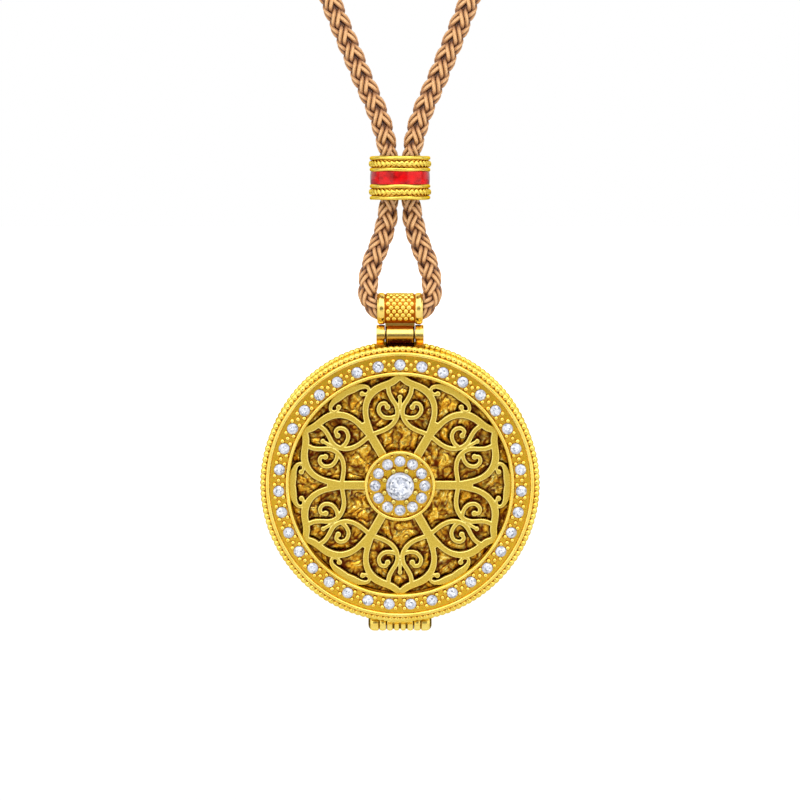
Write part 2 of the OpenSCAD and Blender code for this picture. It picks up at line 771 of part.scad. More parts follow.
module retaining_ring() {
    color("gold") on_face() translate([0, 0, ground_level]) difference() {
        cylinder(r = seat_r - plate_clearance, h = ground_gap, $fn = 128);
        translate([0, 0, -overrun])
            cylinder(r = opening_r + plate_clearance, h = ground_gap + 2 * overrun, $fn = 128);
    }
}

module ground_foil() {
    color("goldenrod") on_face() translate([0, 0, ground_back_level])
        cylinder(r = seat_r - plate_clearance, h = ground_t, $fn = 128);
}

module lid_lining() {
    color("gold") on_face() translate([0, 0, lining_back_level])
        cylinder(r = case_bore_r, h = lining_t, $fn = 128);
}

module lid_hinge_knuckle() {
    // Side view of the foot that carries the knuckle: forward from the hinge plane, and up
    foot = [[0, -web_top_gap - wall_r], [web_back_level, -web_top_gap - wall_r],
        [web_back_level, web_lap - wall_r], [web_front_level, web_lap - wall_r],
        [web_front_level, web_toe - lid_axis_drop],
        [web_heel_level, -web_heel_drop - lid_axis_drop], [0, -lid_axis_drop]];
    foot_half = lid_knuckle_half - rib_gap;
    color("gold") difference() {
        union() {
            turned_x(concat([[-lid_knuckle_half, 0]], rib_outline(-lid_knuckle_half, lid_rib_count),
                [[lid_knuckle_half, 0]]), lid_axis_z);
            translate([-foot_half, 0, centre_z]) rotate([90, 0, 90])
                linear_extrude(2 * foot_half) mirror([1, 0]) polygon(foot);
        }
        wall_cut();
        bar_x(lid_pin_r + pin_clearance, -lid_knuckle_half - overrun, lid_knuckle_half + overrun,
            lid_axis_z);
    }
}

// Bail

module bail_barrel() {
    half = barrel_l / 2 - barrel_rim_w;
    color("gold") difference() {
        bar_x(sleeve_r, -half, half, barrel_z);
        bar_x(barrel_bore_r, -half - overrun, half + overrun, barrel_z);
    }
}

module barrel_rim(side) {
    inner = barrel_l / 2 - barrel_rim_w;
    outer = barrel_l / 2;
    on_side(side) turned_x(concat([[inner, barrel_bore_r], [inner, sleeve_r]],
        arc([inner + rim_edge_r, barrel_r - rim_edge_r], rim_edge_r, 180, 90, 2),
        arc([outer - rim_mouth_r, barrel_r - rim_mouth_r], rim_mouth_r, 90, -90, crown_steps)),
        barrel_z);
}

module bail_rim_left() {
    color("gold") barrel_rim(-1);
}

module bail_rim_right() {
    color("gold") barrel_rim(1);
}

module bail_studs() {
    color("gold") translate([0, 0, barrel_z]) difference() {
        for (row = [0:stud_rows - 1]) {
            turn = 360 * row / stud_rows;
            count = stud_columns - row % 2;
            if (abs(turn - 180) > neck_clear_angle)
                for (i = [0:count - 1])
                    rotate([turn, 0, 0])
                    translate([(i - (count - 1) / 2) * stud_pitch, 0, barrel_r - stud_d / 2])
                    sphere(d = stud_d, $fn = 16);
        }
        rotate([0, 90, 0]) cylinder(r = sleeve_r, h = barrel_l, center = true);
    }
}

module bail_neck() {
    half = bail_knuckle_l / 2;
    color("gold") difference() {
        union() {
            bar_x(ear_r, -half, half, bail_pin_z);
            translate([-half, -neck_t / 2, bail_pin_z]) cube([bail_knuckle_l, neck_t, bail_reach]);
        }
        bar_x(sleeve_r, -half - overrun, half + overrun, barrel_z);
        bar_x(bail_pin_r + pin_clearance, -half - overrun, half + overrun, bail_pin_z);
    }
}

// Slide bead

// Stadium shaped hole for the two strands
function strand_hole() = let (r = cord_r + cord_hole_clearance) concat(
    arc([strand_x, 0], r, -90, 90, 12), arc([-strand_x, 0], r, 90, 270, 12));

module bead_sleeve() {
    color("gold") translate([0, 0, bead_z - bead_l / 2]) difference() {
        cylinder(r = bead_sleeve_r, h = bead_l);
        translate([0, 0, -overrun]) cylinder(r = liner_r, h = bead_l + 2 * overrun);
    }
}

// Plain rounded rim of a band
module band_rim() {
    round_x = bead_r - band_rim_drop - band_rim_round;
    rotate_extrude($fn = 96) polygon(concat([[bead_sleeve_r, 0]],
        arc([round_x, band_rim_round], band_rim_round, -90, 0, 3),
        arc([round_x, band_rim_l - band_rim_round], band_rim_round, 0, 90, 3),
        [[bead_sleeve_r, band_rim_l]]));
}

module bead_band(z0) {
    translate([0, 0, z0]) {
        band_rim();
        translate([0, 0, band_l - band_rim_l]) band_rim();
        translate([0, 0, band_rim_l])
            beaded_ring(bead_row_count, bead_sleeve_r, bead_r, bead_row_h, band_l - 2 * band_rim_l);
    }
}

module bead_band_upper() {
    color("gold") bead_band(bead_z + enamel_l / 2);
}

module bead_band_lower() {
    color("gold") bead_band(bead_z - bead_l / 2);
}

module bead_enamel() {
    color("red") translate([0, 0, bead_z - enamel_l / 2]) difference() {
        cylinder(r = enamel_r, h = enamel_l);
        translate([0, 0, -overrun]) cylinder(r = bead_sleeve_r, h = enamel_l + 2 * overrun);
    }
}

module bead_liner() {
    color("black") translate([0, 0, bead_z - bead_l / 2 + liner_end_gap])
        linear_extrude(bead_l - 2 * liner_end_gap) difference() {
            circle(r = liner_r);
            polygon(strand_hole());
        }
}

// Cord

// Right strand above the bead, from the bead up and over to the knot
function upper_route() = concat([for (p = strand_route) [p[0], bead_z + p[1]]],
    [for (a = arch_angles) [arch_r * cos(a), bead_z + arch_lift + arch_r * sin(a)]],
    [for (p = knot_entry_shares) [knot_l / 2 + p[0] * cord_d, knot_z + p[1] * cord_d]]);

// Right half of the loop below the bead, down to the mouth of the barrel
function half_loop() = concat([for (p = loop_route) [p[0], bead_z - p[1] * (bead_z - bend_z)]],
    [for (a = bend_angles) [bend_x + bend_r * cos(a), bend_z - bend_r * sin(a)]]);

module cord_left() {
    color("peru") cord_tube(reversed([for (p = upper_route()) [-p[0], p[1]]]));
}

module cord_right() {
    color("peru") cord_tube(upper_route());
}

module cord_loop() {
    right = half_loop();
    color("peru") cord_tube(concat(right, reversed([for (p = right) [-p[0], p[1]]])));
}

module cord_knot() {
    half = knot_l / 2;
    color("peru") turned_x(concat([[-half, 0]],
        arc([-half + knot_round_r, knot_r - knot_round_r], knot_round_r, 180, 90, 4),
        arc([half - knot_round_r, knot_r - knot_round_r], knot_round_r, 90, 0, 4),
        [[half, 0]]), knot_z);
}

rear_case();
rear_beading();
back_plate();
case_lip();
catch_bump();
bail_ear_left();
bail_ear_right();
case_knuckle_left();
case_knuckle_right();
lid_hinge_pin();
bail_hinge_pin();
lid_bezel();
front_beading();
rim_stones();
rim_grains();
pierced_lotus();
centre_collet();
halo_stones();
centre_stone();
centre_prongs();
centre_grains();
retaining_ring();
ground_foil();
lid_lining();
lid_hinge_knuckle();
bail_barrel();
bail_rim_left();
bail_rim_right();
bail_studs();
bail_neck();
bead_sleeve();
bead_band_upper();
bead_band_lower();
bead_enamel();
bead_liner();
cord_left();
cord_right();
cord_loop();
cord_knot();
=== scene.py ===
"""Looks of a hinged amulet locket that hangs upright on a braided cord.

Sizes are in millimetres in the part's own frame: Z is up, the lid faces -Y, the origin is the
point under the knot where the cord is hung. Points become metres when a mesh is made.
"""
import math

import bpy
import numpy as np
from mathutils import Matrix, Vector, noise


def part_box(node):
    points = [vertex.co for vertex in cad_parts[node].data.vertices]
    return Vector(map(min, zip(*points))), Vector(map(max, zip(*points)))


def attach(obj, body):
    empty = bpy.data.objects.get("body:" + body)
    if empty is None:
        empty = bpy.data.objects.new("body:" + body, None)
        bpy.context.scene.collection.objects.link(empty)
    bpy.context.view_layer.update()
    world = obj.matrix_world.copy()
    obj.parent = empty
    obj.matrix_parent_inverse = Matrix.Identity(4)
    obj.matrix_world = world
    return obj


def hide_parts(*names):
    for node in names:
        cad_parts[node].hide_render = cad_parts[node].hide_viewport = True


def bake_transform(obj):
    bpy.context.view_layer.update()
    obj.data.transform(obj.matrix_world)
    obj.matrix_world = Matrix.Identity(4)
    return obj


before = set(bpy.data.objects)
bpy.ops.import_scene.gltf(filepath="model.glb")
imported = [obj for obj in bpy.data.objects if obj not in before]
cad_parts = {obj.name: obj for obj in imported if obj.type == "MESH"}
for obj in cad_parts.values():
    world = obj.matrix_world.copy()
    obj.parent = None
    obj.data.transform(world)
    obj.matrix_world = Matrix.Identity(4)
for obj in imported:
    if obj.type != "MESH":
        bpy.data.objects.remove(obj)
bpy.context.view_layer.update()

MM = 0.001
TURN = 2 * math.pi
AXIS_R = 0.02
TOUCH = 0.02
rng = np.random.default_rng(35)


# Places read from the frame

def box_mm(node):
    """Lowest and highest corner of a CAD node in millimetres."""
    low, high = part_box(node)
    return np.array(low) / MM, np.array(high) / MM


front_low, front_high = box_mm("front_beading")
rear_low, rear_high = box_mm("rear_beading")
bezel_low, bezel_high = box_mm("lid_bezel")
plate_low, plate_high = box_mm("pierced_lotus")
foil_low, foil_high = box_mm("ground_foil")
enamel_low, enamel_high = box_mm("bead_enamel")
upper_low, upper_high = box_mm("bead_band_upper")
lower_low, lower_high = box_mm("bead_band_lower")
rim_low, rim_high = box_mm("bail_rim_right")
sleeve_low, sleeve_high = box_mm("bail_barrel")
knot_low, knot_high = box_mm("cord_knot")
collet_low, collet_high = box_mm("centre_collet")
stones_low = box_mm("rim_stones")[0]
halo_low = box_mm("halo_stones")[0]
centre_low, centre_high = box_mm("centre_stone")
case_low, case_high = box_mm("rear_case")
back_low, back_high = box_mm("back_plate")
ear_low, ear_high = box_mm("bail_ear_right")
neck_high = box_mm("bail_neck")[1]
ribs_low, ribs_high = box_mm("lid_hinge_knuckle")
lobe_low, lobe_high = box_mm("case_knuckle_right")
lid_pin_low, lid_pin_high = box_mm("lid_hinge_pin")

centre_z = (front_low[2] + front_high[2]) / 2
bead_z = (enamel_low[2] + enamel_high[2]) / 2
barrel_z = (sleeve_low[2] + sleeve_high[2]) / 2
knot_z = (knot_low[2] + knot_high[2]) / 2
lid_axis_z = (lid_pin_low[2] + lid_pin_high[2]) / 2


# Mesh helpers

def on_face(p):
    """Points drawn on the face, with the third number towards the viewer, put into the part."""
    p = np.asarray(p, float)
    return np.stack([p[..., 0], -p[..., 2], centre_z + p[..., 1]], -1)


def about_x(p, z):
    """Points drawn about an axis, put about a line along X at height z."""
    p = np.asarray(p, float)
    return np.stack([p[..., 2], p[..., 0], z + p[..., 1]], -1)


def wrapped_quads(rows, columns, closed_rows=True):
    """Faces of a grid of points that closes on itself along its columns, and along its rows too."""
    i, j = np.meshgrid(np.arange(rows if closed_rows else rows - 1), np.arange(columns), indexing="ij")
    i, j = i.ravel(), j.ravel()
    after_i, after_j = (i + 1) % rows, (j + 1) % columns
    return np.stack([i * columns + j, i * columns + after_j, after_i * columns + after_j,
                     after_i * columns + j], -1)


def closed_tube(grid, offset=0):
    """Faces of a tube with flat ends, numbered from offset."""
    rings, sides = grid.shape[:2]
    faces = (wrapped_quads(rings, sides, False) + offset).tolist()
    faces.append([offset + k for k in range(sides)][::-1])
    faces.append([offset + (rings - 1) * sides + k for k in range(sides)])
    return faces


def turned_points(radius, level, steps):
    """Grid of points turned from a row of radii and a row of levels."""
    turn = TURN * np.arange(steps) / steps
    radius, level = (np.asarray(v, float)[:, None] for v in (radius, level))
    return np.stack(np.broadcast_arrays(radius * np.cos(turn), radius * np.sin(turn), level), -1)


def lathe(outline, steps):
    """Closed ring turned from an outline of (radius, level) points that runs anticlockwise."""
    points = turned_points(*zip(*outline), steps)
    return points.reshape(-1, 3), wrapped_quads(len(outline), steps)


def lathe_solid(outline, steps):
    """Solid turned from (level, radius) points, with flat ends."""
    level, radius = zip(*outline)
    points = turned_points(radius, level, steps)
    return points.reshape(-1, 3), closed_tube(points)


def crown(start, end, foot, top, steps):
    """Outline points over a flattened crown, from one foot to the other."""
    t = math.pi * np.arange(steps + 1) / steps
    return [((start + end) / 2 + (start - end) / 2 * math.cos(a), foot + (top - foot) * math.sin(a))
            for a in t]


def unit_ball(rings, segments):
    """Ball of radius 1 as points and faces."""
    down = math.pi * np.arange(1, rings) / rings
    turn = TURN * np.arange(segments) / segments
    body = np.stack(np.broadcast_arrays(np.outer(np.sin(down), np.cos(turn)),
                                        np.outer(np.sin(down), np.sin(turn)),
                                        np.cos(down)[:, None]), -1).reshape(-1, 3)
    points = np.concatenate([[[0, 0, 1]], body, [[0, 0, -1]]])
    faces = []
    last = len(points) - 1
    for j in range(segments):
        k = (j + 1) % segments
        faces.append([0, 1 + j, 1 + k])
        faces.append([last, last - segments + k, last - segments + j])
        for i in range(rings - 2):
            a = 1 + i * segments
            faces.append([a + j, a + segments + j, a + segments + k, a + k])
    return points, faces


def unit(v):
    return v / np.linalg.norm(v, axis=-1, keepdims=True)


def mirrored(points):
    return points * np.array([-1.0, 1.0, 1.0])


def on_side(side, points, faces):
    """Shape of a right piece, or its left twin where side is -1."""
    if side > 0:
        return points, faces
    return mirrored(points), [[int(v) for v in face[::-1]] for face in faces]


def joined(shapes):
    """One mesh from several closed shapes."""
    points, faces, offset = [], [], 0
    for shape_points, shape_faces in shapes:
        points.append(np.asarray(shape_points, float))
        faces += [[int(v) + offset for v in face] for face in shape_faces]
        offset += len(shape_points)
    return np.concatenate(points), faces


def copies(shape, places):
    """One mesh from many moved copies of a shape; each place is a function of the points."""
    points, faces = shape
    all_points = np.concatenate([place(points) for place in places])
    all_faces = [[v + k * len(points) for v in face] for k in range(len(places)) for face in faces]
    return all_points, all_faces


def smooth_curve(ends, steps):
    """Points on a smooth curve through a route; its first and last points only steer the ends."""
    t = np.linspace(0, 1, steps, endpoint=False)[:, None]
    line = [0.5 * (2 * b + (c - a) * t + (2 * a - 5 * b + 4 * c - d) * t ** 2
                   + (3 * b - a - 3 * c + d) * t ** 3)
            for a, b, c, d in zip(ends[:-3], ends[1:-2], ends[2:-1], ends[3:])]
    return np.concatenate(line + [ends[-2:-1]])


def make(name, shape, material, body, stands_for=(), sharp=None, normals=None):
    """Piece from points in millimetres, with its material, body and the nodes it stands for."""
    points, faces = shape
    mesh = bpy.data.meshes.new(name)
    mesh.from_pydata((np.asarray(points, float) * MM).tolist(), [],
                     faces.tolist() if isinstance(faces, np.ndarray) else faces)
    mesh.materials.append(material)
    mesh.polygons.foreach_set("use_smooth", np.ones(len(mesh.polygons), bool))
    if sharp is not None:
        mesh.set_sharp_from_angle(angle=math.radians(sharp))
    if normals is not None:
        mesh.normals_split_custom_set_from_vertices(np.asarray(normals, float).tolist())
    obj = bpy.data.objects.new(name, mesh)
    bpy.context.scene.collection.objects.link(obj)
    if stands_for:
        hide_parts(*stands_for)
    if body:
        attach(obj, body)
    return obj


def store(obj, name, values, domain="POINT"):
    """Number or vector stored at each point or face of a piece, for its material to read."""
    values = np.asarray(values, np.float32)
    kind, field = ("FLOAT_VECTOR", "vector") if values.ndim > 1 else ("FLOAT", "value")
    obj.data.attributes.new(name, kind, domain).data.foreach_set(field, values.ravel())


# Material helpers

def linear(red, green, blue):
    """Shader colour from a colour as a screen shows it, 0 to 255."""
    return tuple((c / 12.92 if c <= 0.04045 else ((c + 0.055) / 1.055) ** 2.4)
                 for c in (red / 255, green / 255, blue / 255)) + (1,)


class Nodes:
    """Node tree with short calls to add nodes."""

    def __init__(self, tree):
        self.tree = tree

    def add(self, kind, **values):
        node = self.tree.nodes.new(kind)
        for name, value in values.items():
            key = name.replace("_", " ")
            if key in node.inputs:
                node.inputs[key].default_value = value
            else:
                setattr(node, name, value)
        return node

    def link(self, output, node, name):
        self.tree.links.new(output, node.inputs[name])

    def place(self):
        return self.add("ShaderNodeTexCoord").outputs["Object"]

    def noise(self, size, detail=2.0, roughness=0.5, distortion=0.0, place=None):
        """Noise whose features are about size millimetres wide."""
        node = self.add("ShaderNodeTexNoise", Scale=1 / (size * MM), Detail=detail,
                        Roughness=roughness, Distortion=distortion)
        self.link(place or self.place(), node, "Vector")
        return node.outputs["Fac"]

    def value(self, attribute):
        return self.add("ShaderNodeAttribute", attribute_name=attribute).outputs["Fac"]

    def ramp(self, output, stops):
        """Colour picked by a number, from (position, colour) stops."""
        node = self.add("ShaderNodeValToRGB")
        elements = node.color_ramp.elements
        while len(elements) < len(stops):
            elements.new(0.5)
        for element, (position, colour) in zip(elements, stops):
            element.position = position
            element.color = colour
        self.link(output, node, "Fac")
        return node.outputs["Color"]

    def span(self, output, low, high, new_low, new_high):
        node = self.add("ShaderNodeMapRange")
        ends = {"From Min": low, "From Max": high, "To Min": new_low, "To Max": new_high}
        for name, value in ends.items():
            node.inputs[name].default_value = value
        self.link(output, node, "Value")
        return node.outputs["Result"]

    def maths(self, operation, a, b):
        node = self.add("ShaderNodeMath", operation=operation)
        for k, value in enumerate((a, b)):
            if isinstance(value, (int, float)):
                node.inputs[k].default_value = value
            else:
                self.tree.links.new(value, node.inputs[k])
        return node.outputs["Value"]

    def mix(self, factor, a, b, mode="MIX"):
        node = self.add("ShaderNodeMix", data_type="RGBA", blend_type=mode)
        for socket, value in zip((node.inputs[0], node.inputs[6], node.inputs[7]), (factor, a, b)):
            if isinstance(value, (int, float, tuple)):
                socket.default_value = value
            else:
                self.tree.links.new(value, socket)
        return node.outputs[2]

    def shade(self, reach):
        """How open the surface is: 0 deep in a crevice, 1 in the open, felt over reach millimetres."""
        node = self.add("ShaderNodeAmbientOcclusion", Distance=reach * MM, samples=8)
        return node.outputs["AO"]


class Look(Nodes):
    """Node material with a Principled shader."""

    def __init__(self, name):
        self.material = bpy.data.materials.new(name)
        self.material.use_nodes = True
        super().__init__(self.material.node_tree)
        self.shader = self.tree.nodes["Principled BSDF"]

    def set(self, **values):
        for name, value in values.items():
            self.shader.inputs[name.replace("_", " ")].default_value = value

    def bump(self, height, strength, depth):
        node = self.add("ShaderNodeBump", Strength=strength, Distance=depth * MM)
        self.link(height, node, "Height")
        self.link(node.outputs["Normal"], self.shader, "Normal")

    def colour(self, output):
        self.link(output, self.shader, "Base Color")

    def rough(self, output):
        self.link(output, self.shader, "Roughness")


GOLD_LIGHT = linear(250, 226, 118)
GOLD = linear(242, 208, 92)
# The next two tones are painted shade, beside crevices and deep in them
GOLD_PAINTED_SHADE = linear(206, 128, 24)
GOLD_PAINTED_CREVICE_SHADE = linear(96, 34, 4)
# Painted shade on the floors of recesses
GOLD_RECESS_SHADE = linear(216, 170, 42)
GOLD_EDGE_ON = linear(255, 222, 110)
# Near black painted shade for places in shadow
GOLD_PAINTED_DEEP_SHADE = linear(46, 12, 4)


def gold(name, roughness, reach=0.45, grain=0.12, grain_depth=0.004, light=GOLD_LIGHT, body=GOLD,
         shade=GOLD_PAINTED_SHADE, crevice=GOLD_PAINTED_CREVICE_SHADE, painted_facing_light=None):
    """Gold plate with painted shade: brown deep in the crevices and orange beside them, by how open the
    surface is, with a fine uneven surface.

    The last argument is a ramp of painted light and shade by the way a surface faces, from the surfaces
    that face down, at 0, to those that face up.
    """
    look = Look(name)
    look.set(Metallic=1.0, Specular_Tint=GOLD_EDGE_ON)
    tone = look.ramp(look.noise(2.5, 3), [(0.35, body), (0.7, light)])
    # Painted shade: the floors of recesses take a darker, more orange tone
    tone = look.mix(look.value("painted_recess_shade"), tone, GOLD_RECESS_SHADE)
    # Painted light and shade by the way the surface faces, up or down
    if painted_facing_light:
        height = look.add("ShaderNodeSeparateXYZ")
        look.link(look.add("ShaderNodeTexCoord").outputs["Normal"], height, "Vector")
        share = look.span(height.outputs["Z"], -1.0, 1.0, 0.0, 1.0)
        tone = look.mix(1.0, tone, look.ramp(share, painted_facing_light), "MULTIPLY")
    # Painted shade from ambient occlusion: brown deep in crevices, orange beside them
    open_air = look.shade(reach)
    dark = look.ramp(open_air, [(0.12, crevice), (0.42, shade), (0.8, body)])
    factor = look.span(open_air, 0.42, 0.85, 1.0, 0.0)
    # Painted shade: marked places turn near black
    look.colour(look.mix(look.value("painted_deep_shade"), look.mix(factor, tone, dark), GOLD_PAINTED_DEEP_SHADE))
    look.rough(look.span(look.noise(0.6, 3), 0.3, 0.7, roughness * 0.8, roughness * 1.25))
    look.bump(look.noise(grain, 3), 0.5, grain_depth)
    return look.material


def satin_material():
    """Brushed top of the openwork, with a painted highlight on the rounded edges, which are also smoother.
    """
    look = Look("satin_gold")
    look.set(Metallic=1.0)
    grain = look.noise(0.16, 4, 0.6)
    flat = look.ramp(grain, [(0.3, linear(206, 172, 62)), (0.5, linear(222, 190, 76)),
                             (0.72, linear(238, 212, 100))])
    # The edge attribute paints a highlight, a lighter colour, over the rounded edges, and makes them
    # smoother
    edge = look.value("edge")
    look.colour(look.mix(edge, flat, linear(255, 240, 150)))
    look.rough(look.span(edge, 0.0, 1.0, 0.42, 0.24))
    look.bump(grain, 0.55, 0.012)
    return look.material


def foil_material():
    """Crumpled gold ground, with painted shade: maroon where it lies beside the openwork and in its
    creases.
    """
    look = Look("gold_foil")
    look.set(Metallic=0.95)
    folds = look.noise(0.7, 4, 0.6, 1.5)
    tone = look.ramp(folds, [(0.28, linear(152, 66, 2)), (0.44, linear(216, 156, 40)),
                             (0.56, linear(240, 198, 72)), (0.7, linear(255, 240, 150))])
    # Painted shade in the creases of the folds, from the low attribute
    low = look.value("low")
    tone = look.mix(look.ramp(low, [(0.4, (0, 0, 0, 1)), (0.85, (0.95, 0.95, 0.95, 1))]), tone,
                    linear(92, 18, 0))
    # Painted shadow of the openwork, maroon beside its strokes and under them
    painted_openwork_shade = look.value("painted_openwork_shade")
    look.colour(look.mix(painted_openwork_shade, tone, linear(66, 4, 0)))
    look.rough(look.span(folds, 0.3, 0.7, 0.4, 0.2))
    look.bump(look.noise(0.2, 3), 0.5, 0.02)
    return look.material


def stone_material():
    """Clear stones drawn opaque: each facet has a painted tone that stands for the light the cut stone
    returns.
    """
    look = Look("cut_stone")
    look.set(Roughness=0.05, IOR=1.8)
    facet = look.value("facet")
    tone = look.ramp(facet, [(0.0, linear(64, 68, 76)), (0.2, linear(130, 135, 148)),
                             (0.4, linear(180, 185, 200)), (0.65, linear(208, 211, 220)),
                             (1.0, linear(246, 246, 247))])
    cloud = look.noise(0.5, 2)
    look.colour(look.mix(look.span(cloud, 0.3, 0.7, 0.0, 0.2), tone, linear(180, 190, 214)))
    return look.material


def enamel_material():
    """Translucent red enamel under a clear gloss, with painted shade where it turns away from view."""
    look = Look("red_enamel")
    look.set(Roughness=0.4, Specular_IOR_Level=0.1, Coat_Weight=0.7, Coat_Roughness=0.05, Coat_IOR=1.36)
    depth = look.noise(1.3, 3, 0.55, 0.6)
    tone = look.ramp(depth, [(0.3, linear(146, 0, 2)), (0.5, linear(206, 0, 4)),
                             (0.72, linear(236, 0, 6))])
    # Painted shade: darker purple-red towards the edges that turn away from view
    rim = look.add("ShaderNodeLayerWeight", Blend=0.5).outputs["Facing"]
    look.colour(look.mix(look.span(rim, 0.45, 0.85, 0.0, 1.0), tone, linear(70, 0, 24)))
    look.bump(look.noise(1.8, 1), 0.2, 0.01)
    return look.material


def rubber_material():
    look = Look("dark_liner")
    look.set(Specular_IOR_Level=0.3)
    look.colour(look.ramp(look.noise(0.3, 3), [(0.3, linear(16, 12, 12)), (0.7, linear(36, 28, 26))]))
    look.rough(look.span(look.noise(0.5, 2), 0.3, 0.7, 0.5, 0.7))
    look.bump(look.noise(0.08, 2), 0.4, 0.01)
    return look.material


def braid_material():
    """Waxed cord with painted light and shade: light on the yarns that stand out, dark brown in the
    creases, with fibres along each yarn.
    """
    look = Look("braided_cord")
    look.set(Specular_IOR_Level=0.55, Sheen_Weight=0.08, Sheen_Roughness=0.4)
    fibre_place = look.add("ShaderNodeAttribute", attribute_name="fibre").outputs["Vector"]
    fibres = look.add("ShaderNodeTexNoise", Scale=1.0, Detail=3.0, Roughness=0.6)
    look.link(fibre_place, fibres, "Vector")
    fibre = fibres.outputs["Fac"]
    # Painted light and shade by how far out each point stands from the cord's middle
    painted_crest_light = look.value("painted_crest_light")
    tone = look.ramp(painted_crest_light, [(0.0, linear(44, 12, 0)), (0.5, linear(94, 42, 6)),
                             (0.78, linear(138, 80, 28)), (0.94, linear(194, 134, 74)),
                             (1.0, linear(230, 178, 120))])
    tone = look.mix(look.span(fibre, 0.35, 0.7, 0.0, 0.25), tone, linear(236, 190, 140))
    # Painted shade from ambient occlusion, dark brown in the creases
    open_air = look.ramp(look.shade(0.55), [(0.35, (0, 0, 0, 1)), (0.92, (1, 1, 1, 1))])
    look.colour(look.mix(open_air, look.mix(0.85, tone, linear(64, 20, 2)), tone))
    look.rough(look.span(fibre, 0.3, 0.7, 0.38, 0.26))
    look.bump(fibre, 0.6, 0.03)
    return look.material


# Camera: the photograph's viewing angle

CAMERA_TILT = 7.3

camera_data = bpy.data.cameras.new("camera")
camera_data.sensor_width = 36.0
camera_data.lens = 78.3
camera = bpy.data.objects.new("camera", camera_data)
camera.location = (0, -0.2237, -0.0395)
camera.rotation_euler = (math.radians(90 - CAMERA_TILT), 0, 0)
bpy.context.scene.collection.objects.link(camera)
bpy.context.scene.camera = camera


# Cord: ten strands of two yarns in a round braid that shows six columns

CORD_D = 2.7
ARCH_R = 11.4
ARCH_LIFT = 31
ARCH_ANGLES = [8, 20, 32, 44, 56]
STRAND_ROUTE = [(1.42, 0), (1.42, 2.2), (1.58, 3.6), (1.85, 4.9), (2.5, 7.3), (3.5, 9.8), (4.65, 12.3),
                (5.7, 14.8), (6.75, 17.3), (7.8, 19.8), (8.8, 22.3), (9.8, 25), (10.7, 27.6),
                (11.2, 29.6)]
KNOT_ENTRY_SHARES = [(0.55, -0.15), (0.2, 0), (0, 0)]
KNOT_HALF = (knot_high[0] - knot_low[0]) / 2
LOOP_ROUTE = [(1.42, 0), (1.42, 0.16), (1.48, 0.24), (1.68, 0.36), (2.06, 0.46), (2.55, 0.56), (3.1, 0.65),
              (3.58, 0.74), (3.93, 0.83), (4.1, 0.92)]
RIM_R = (rim_high[2] - rim_low[2]) / 2
BEND_ROUTE = [(4.12, 2.1), (3.98, 1.45), (3.74, 0.9), (3.4, 0.42), (2.96, 0.02), (2.48, -0.24),
              (2, -0.32), (1, -0.22)]
MOUTH_R = 0.2
BEND_Z = barrel_z + RIM_R - MOUTH_R

BRAID_STRANDS = 5
BRAID_COLUMNS = 6
BRAID_LEAD = 11.2
BRAID_TURN = math.radians(12)
BRAID_MID_R = 0.78
BRAID_SWING = 0.27
YARN_R = 0.3
YARN_SPACING = 0.56
YARN_SIDES = 8
YARN_STEP = 0.16
CURVE_STEPS = 40
SQUEEZE = 0.12
SQUEEZE_START = 3.5
SQUEEZE_END = 5.4
BEND_SQUEEZE = 0.06
BEND_SQUEEZE_LIFT = 5
BEND_SQUEEZE_RUN = 2
COLUMN_SHARPNESS = 1.6
CREASE_R = 0.62
FIBRE_ALONG = 1.1
FIBRE_AROUND = 2.4
FIBRE_STEP = 7.3


def upper_route():
    """Right strand above the bead, from the bead up and over to the knot."""
    route = [(x, bead_z + z) for x, z in STRAND_ROUTE]
    route += [(ARCH_R * math.cos(math.radians(a)), bead_z + ARCH_LIFT + ARCH_R * math.sin(math.radians(a)))
              for a in ARCH_ANGLES]
    route += [(KNOT_HALF + x * CORD_D, knot_z + z * CORD_D) for x, z in KNOT_ENTRY_SHARES]
    return route


def half_loop():
    """Right half of the loop below the bead, down to the mouth of the barrel and into its middle."""
    route = [(x, bead_z - z * (bead_z - BEND_Z)) for x, z in LOOP_ROUTE]
    return route + [(x, barrel_z + z) for x, z in BEND_ROUTE]


def smooth_line(route, step):
    """Evenly stepped points on a smooth curve through a route in the plane of the cord."""
    route = np.asarray(route, float)
    ends = np.concatenate([[2 * route[0] - route[1]], route, [2 * route[-1] - route[-2]]])
    line = smooth_curve(ends, CURVE_STEPS)
    run = np.concatenate([[0], np.cumsum(np.linalg.norm(np.diff(line, axis=0), axis=1))])
    even = np.linspace(0, run[-1], int(run[-1] / step) + 1)
    return np.stack([np.interp(even, run, line[:, 0]), np.interp(even, run, line[:, 1])], -1), even


def tube_grid(centres, across, out, radius, sides):
    """Points round a line of centres, given two directions square to it at each centre."""
    turn = TURN * np.arange(sides) / sides
    return (centres[:, None] + radius * (np.cos(turn)[None, :, None] * out[:, None]
                                         + np.sin(turn)[None, :, None] * across[:, None]))


def fibre_places(along, sides):
    """Where the pattern of fibres is read round a yarn."""
    turn = TURN * np.arange(sides) / sides
    return np.stack(np.broadcast_arrays(along[:, None], FIBRE_AROUND * np.cos(turn)[None],
                                        FIBRE_AROUND * np.sin(turn)[None]), -1).reshape(-1, 3)


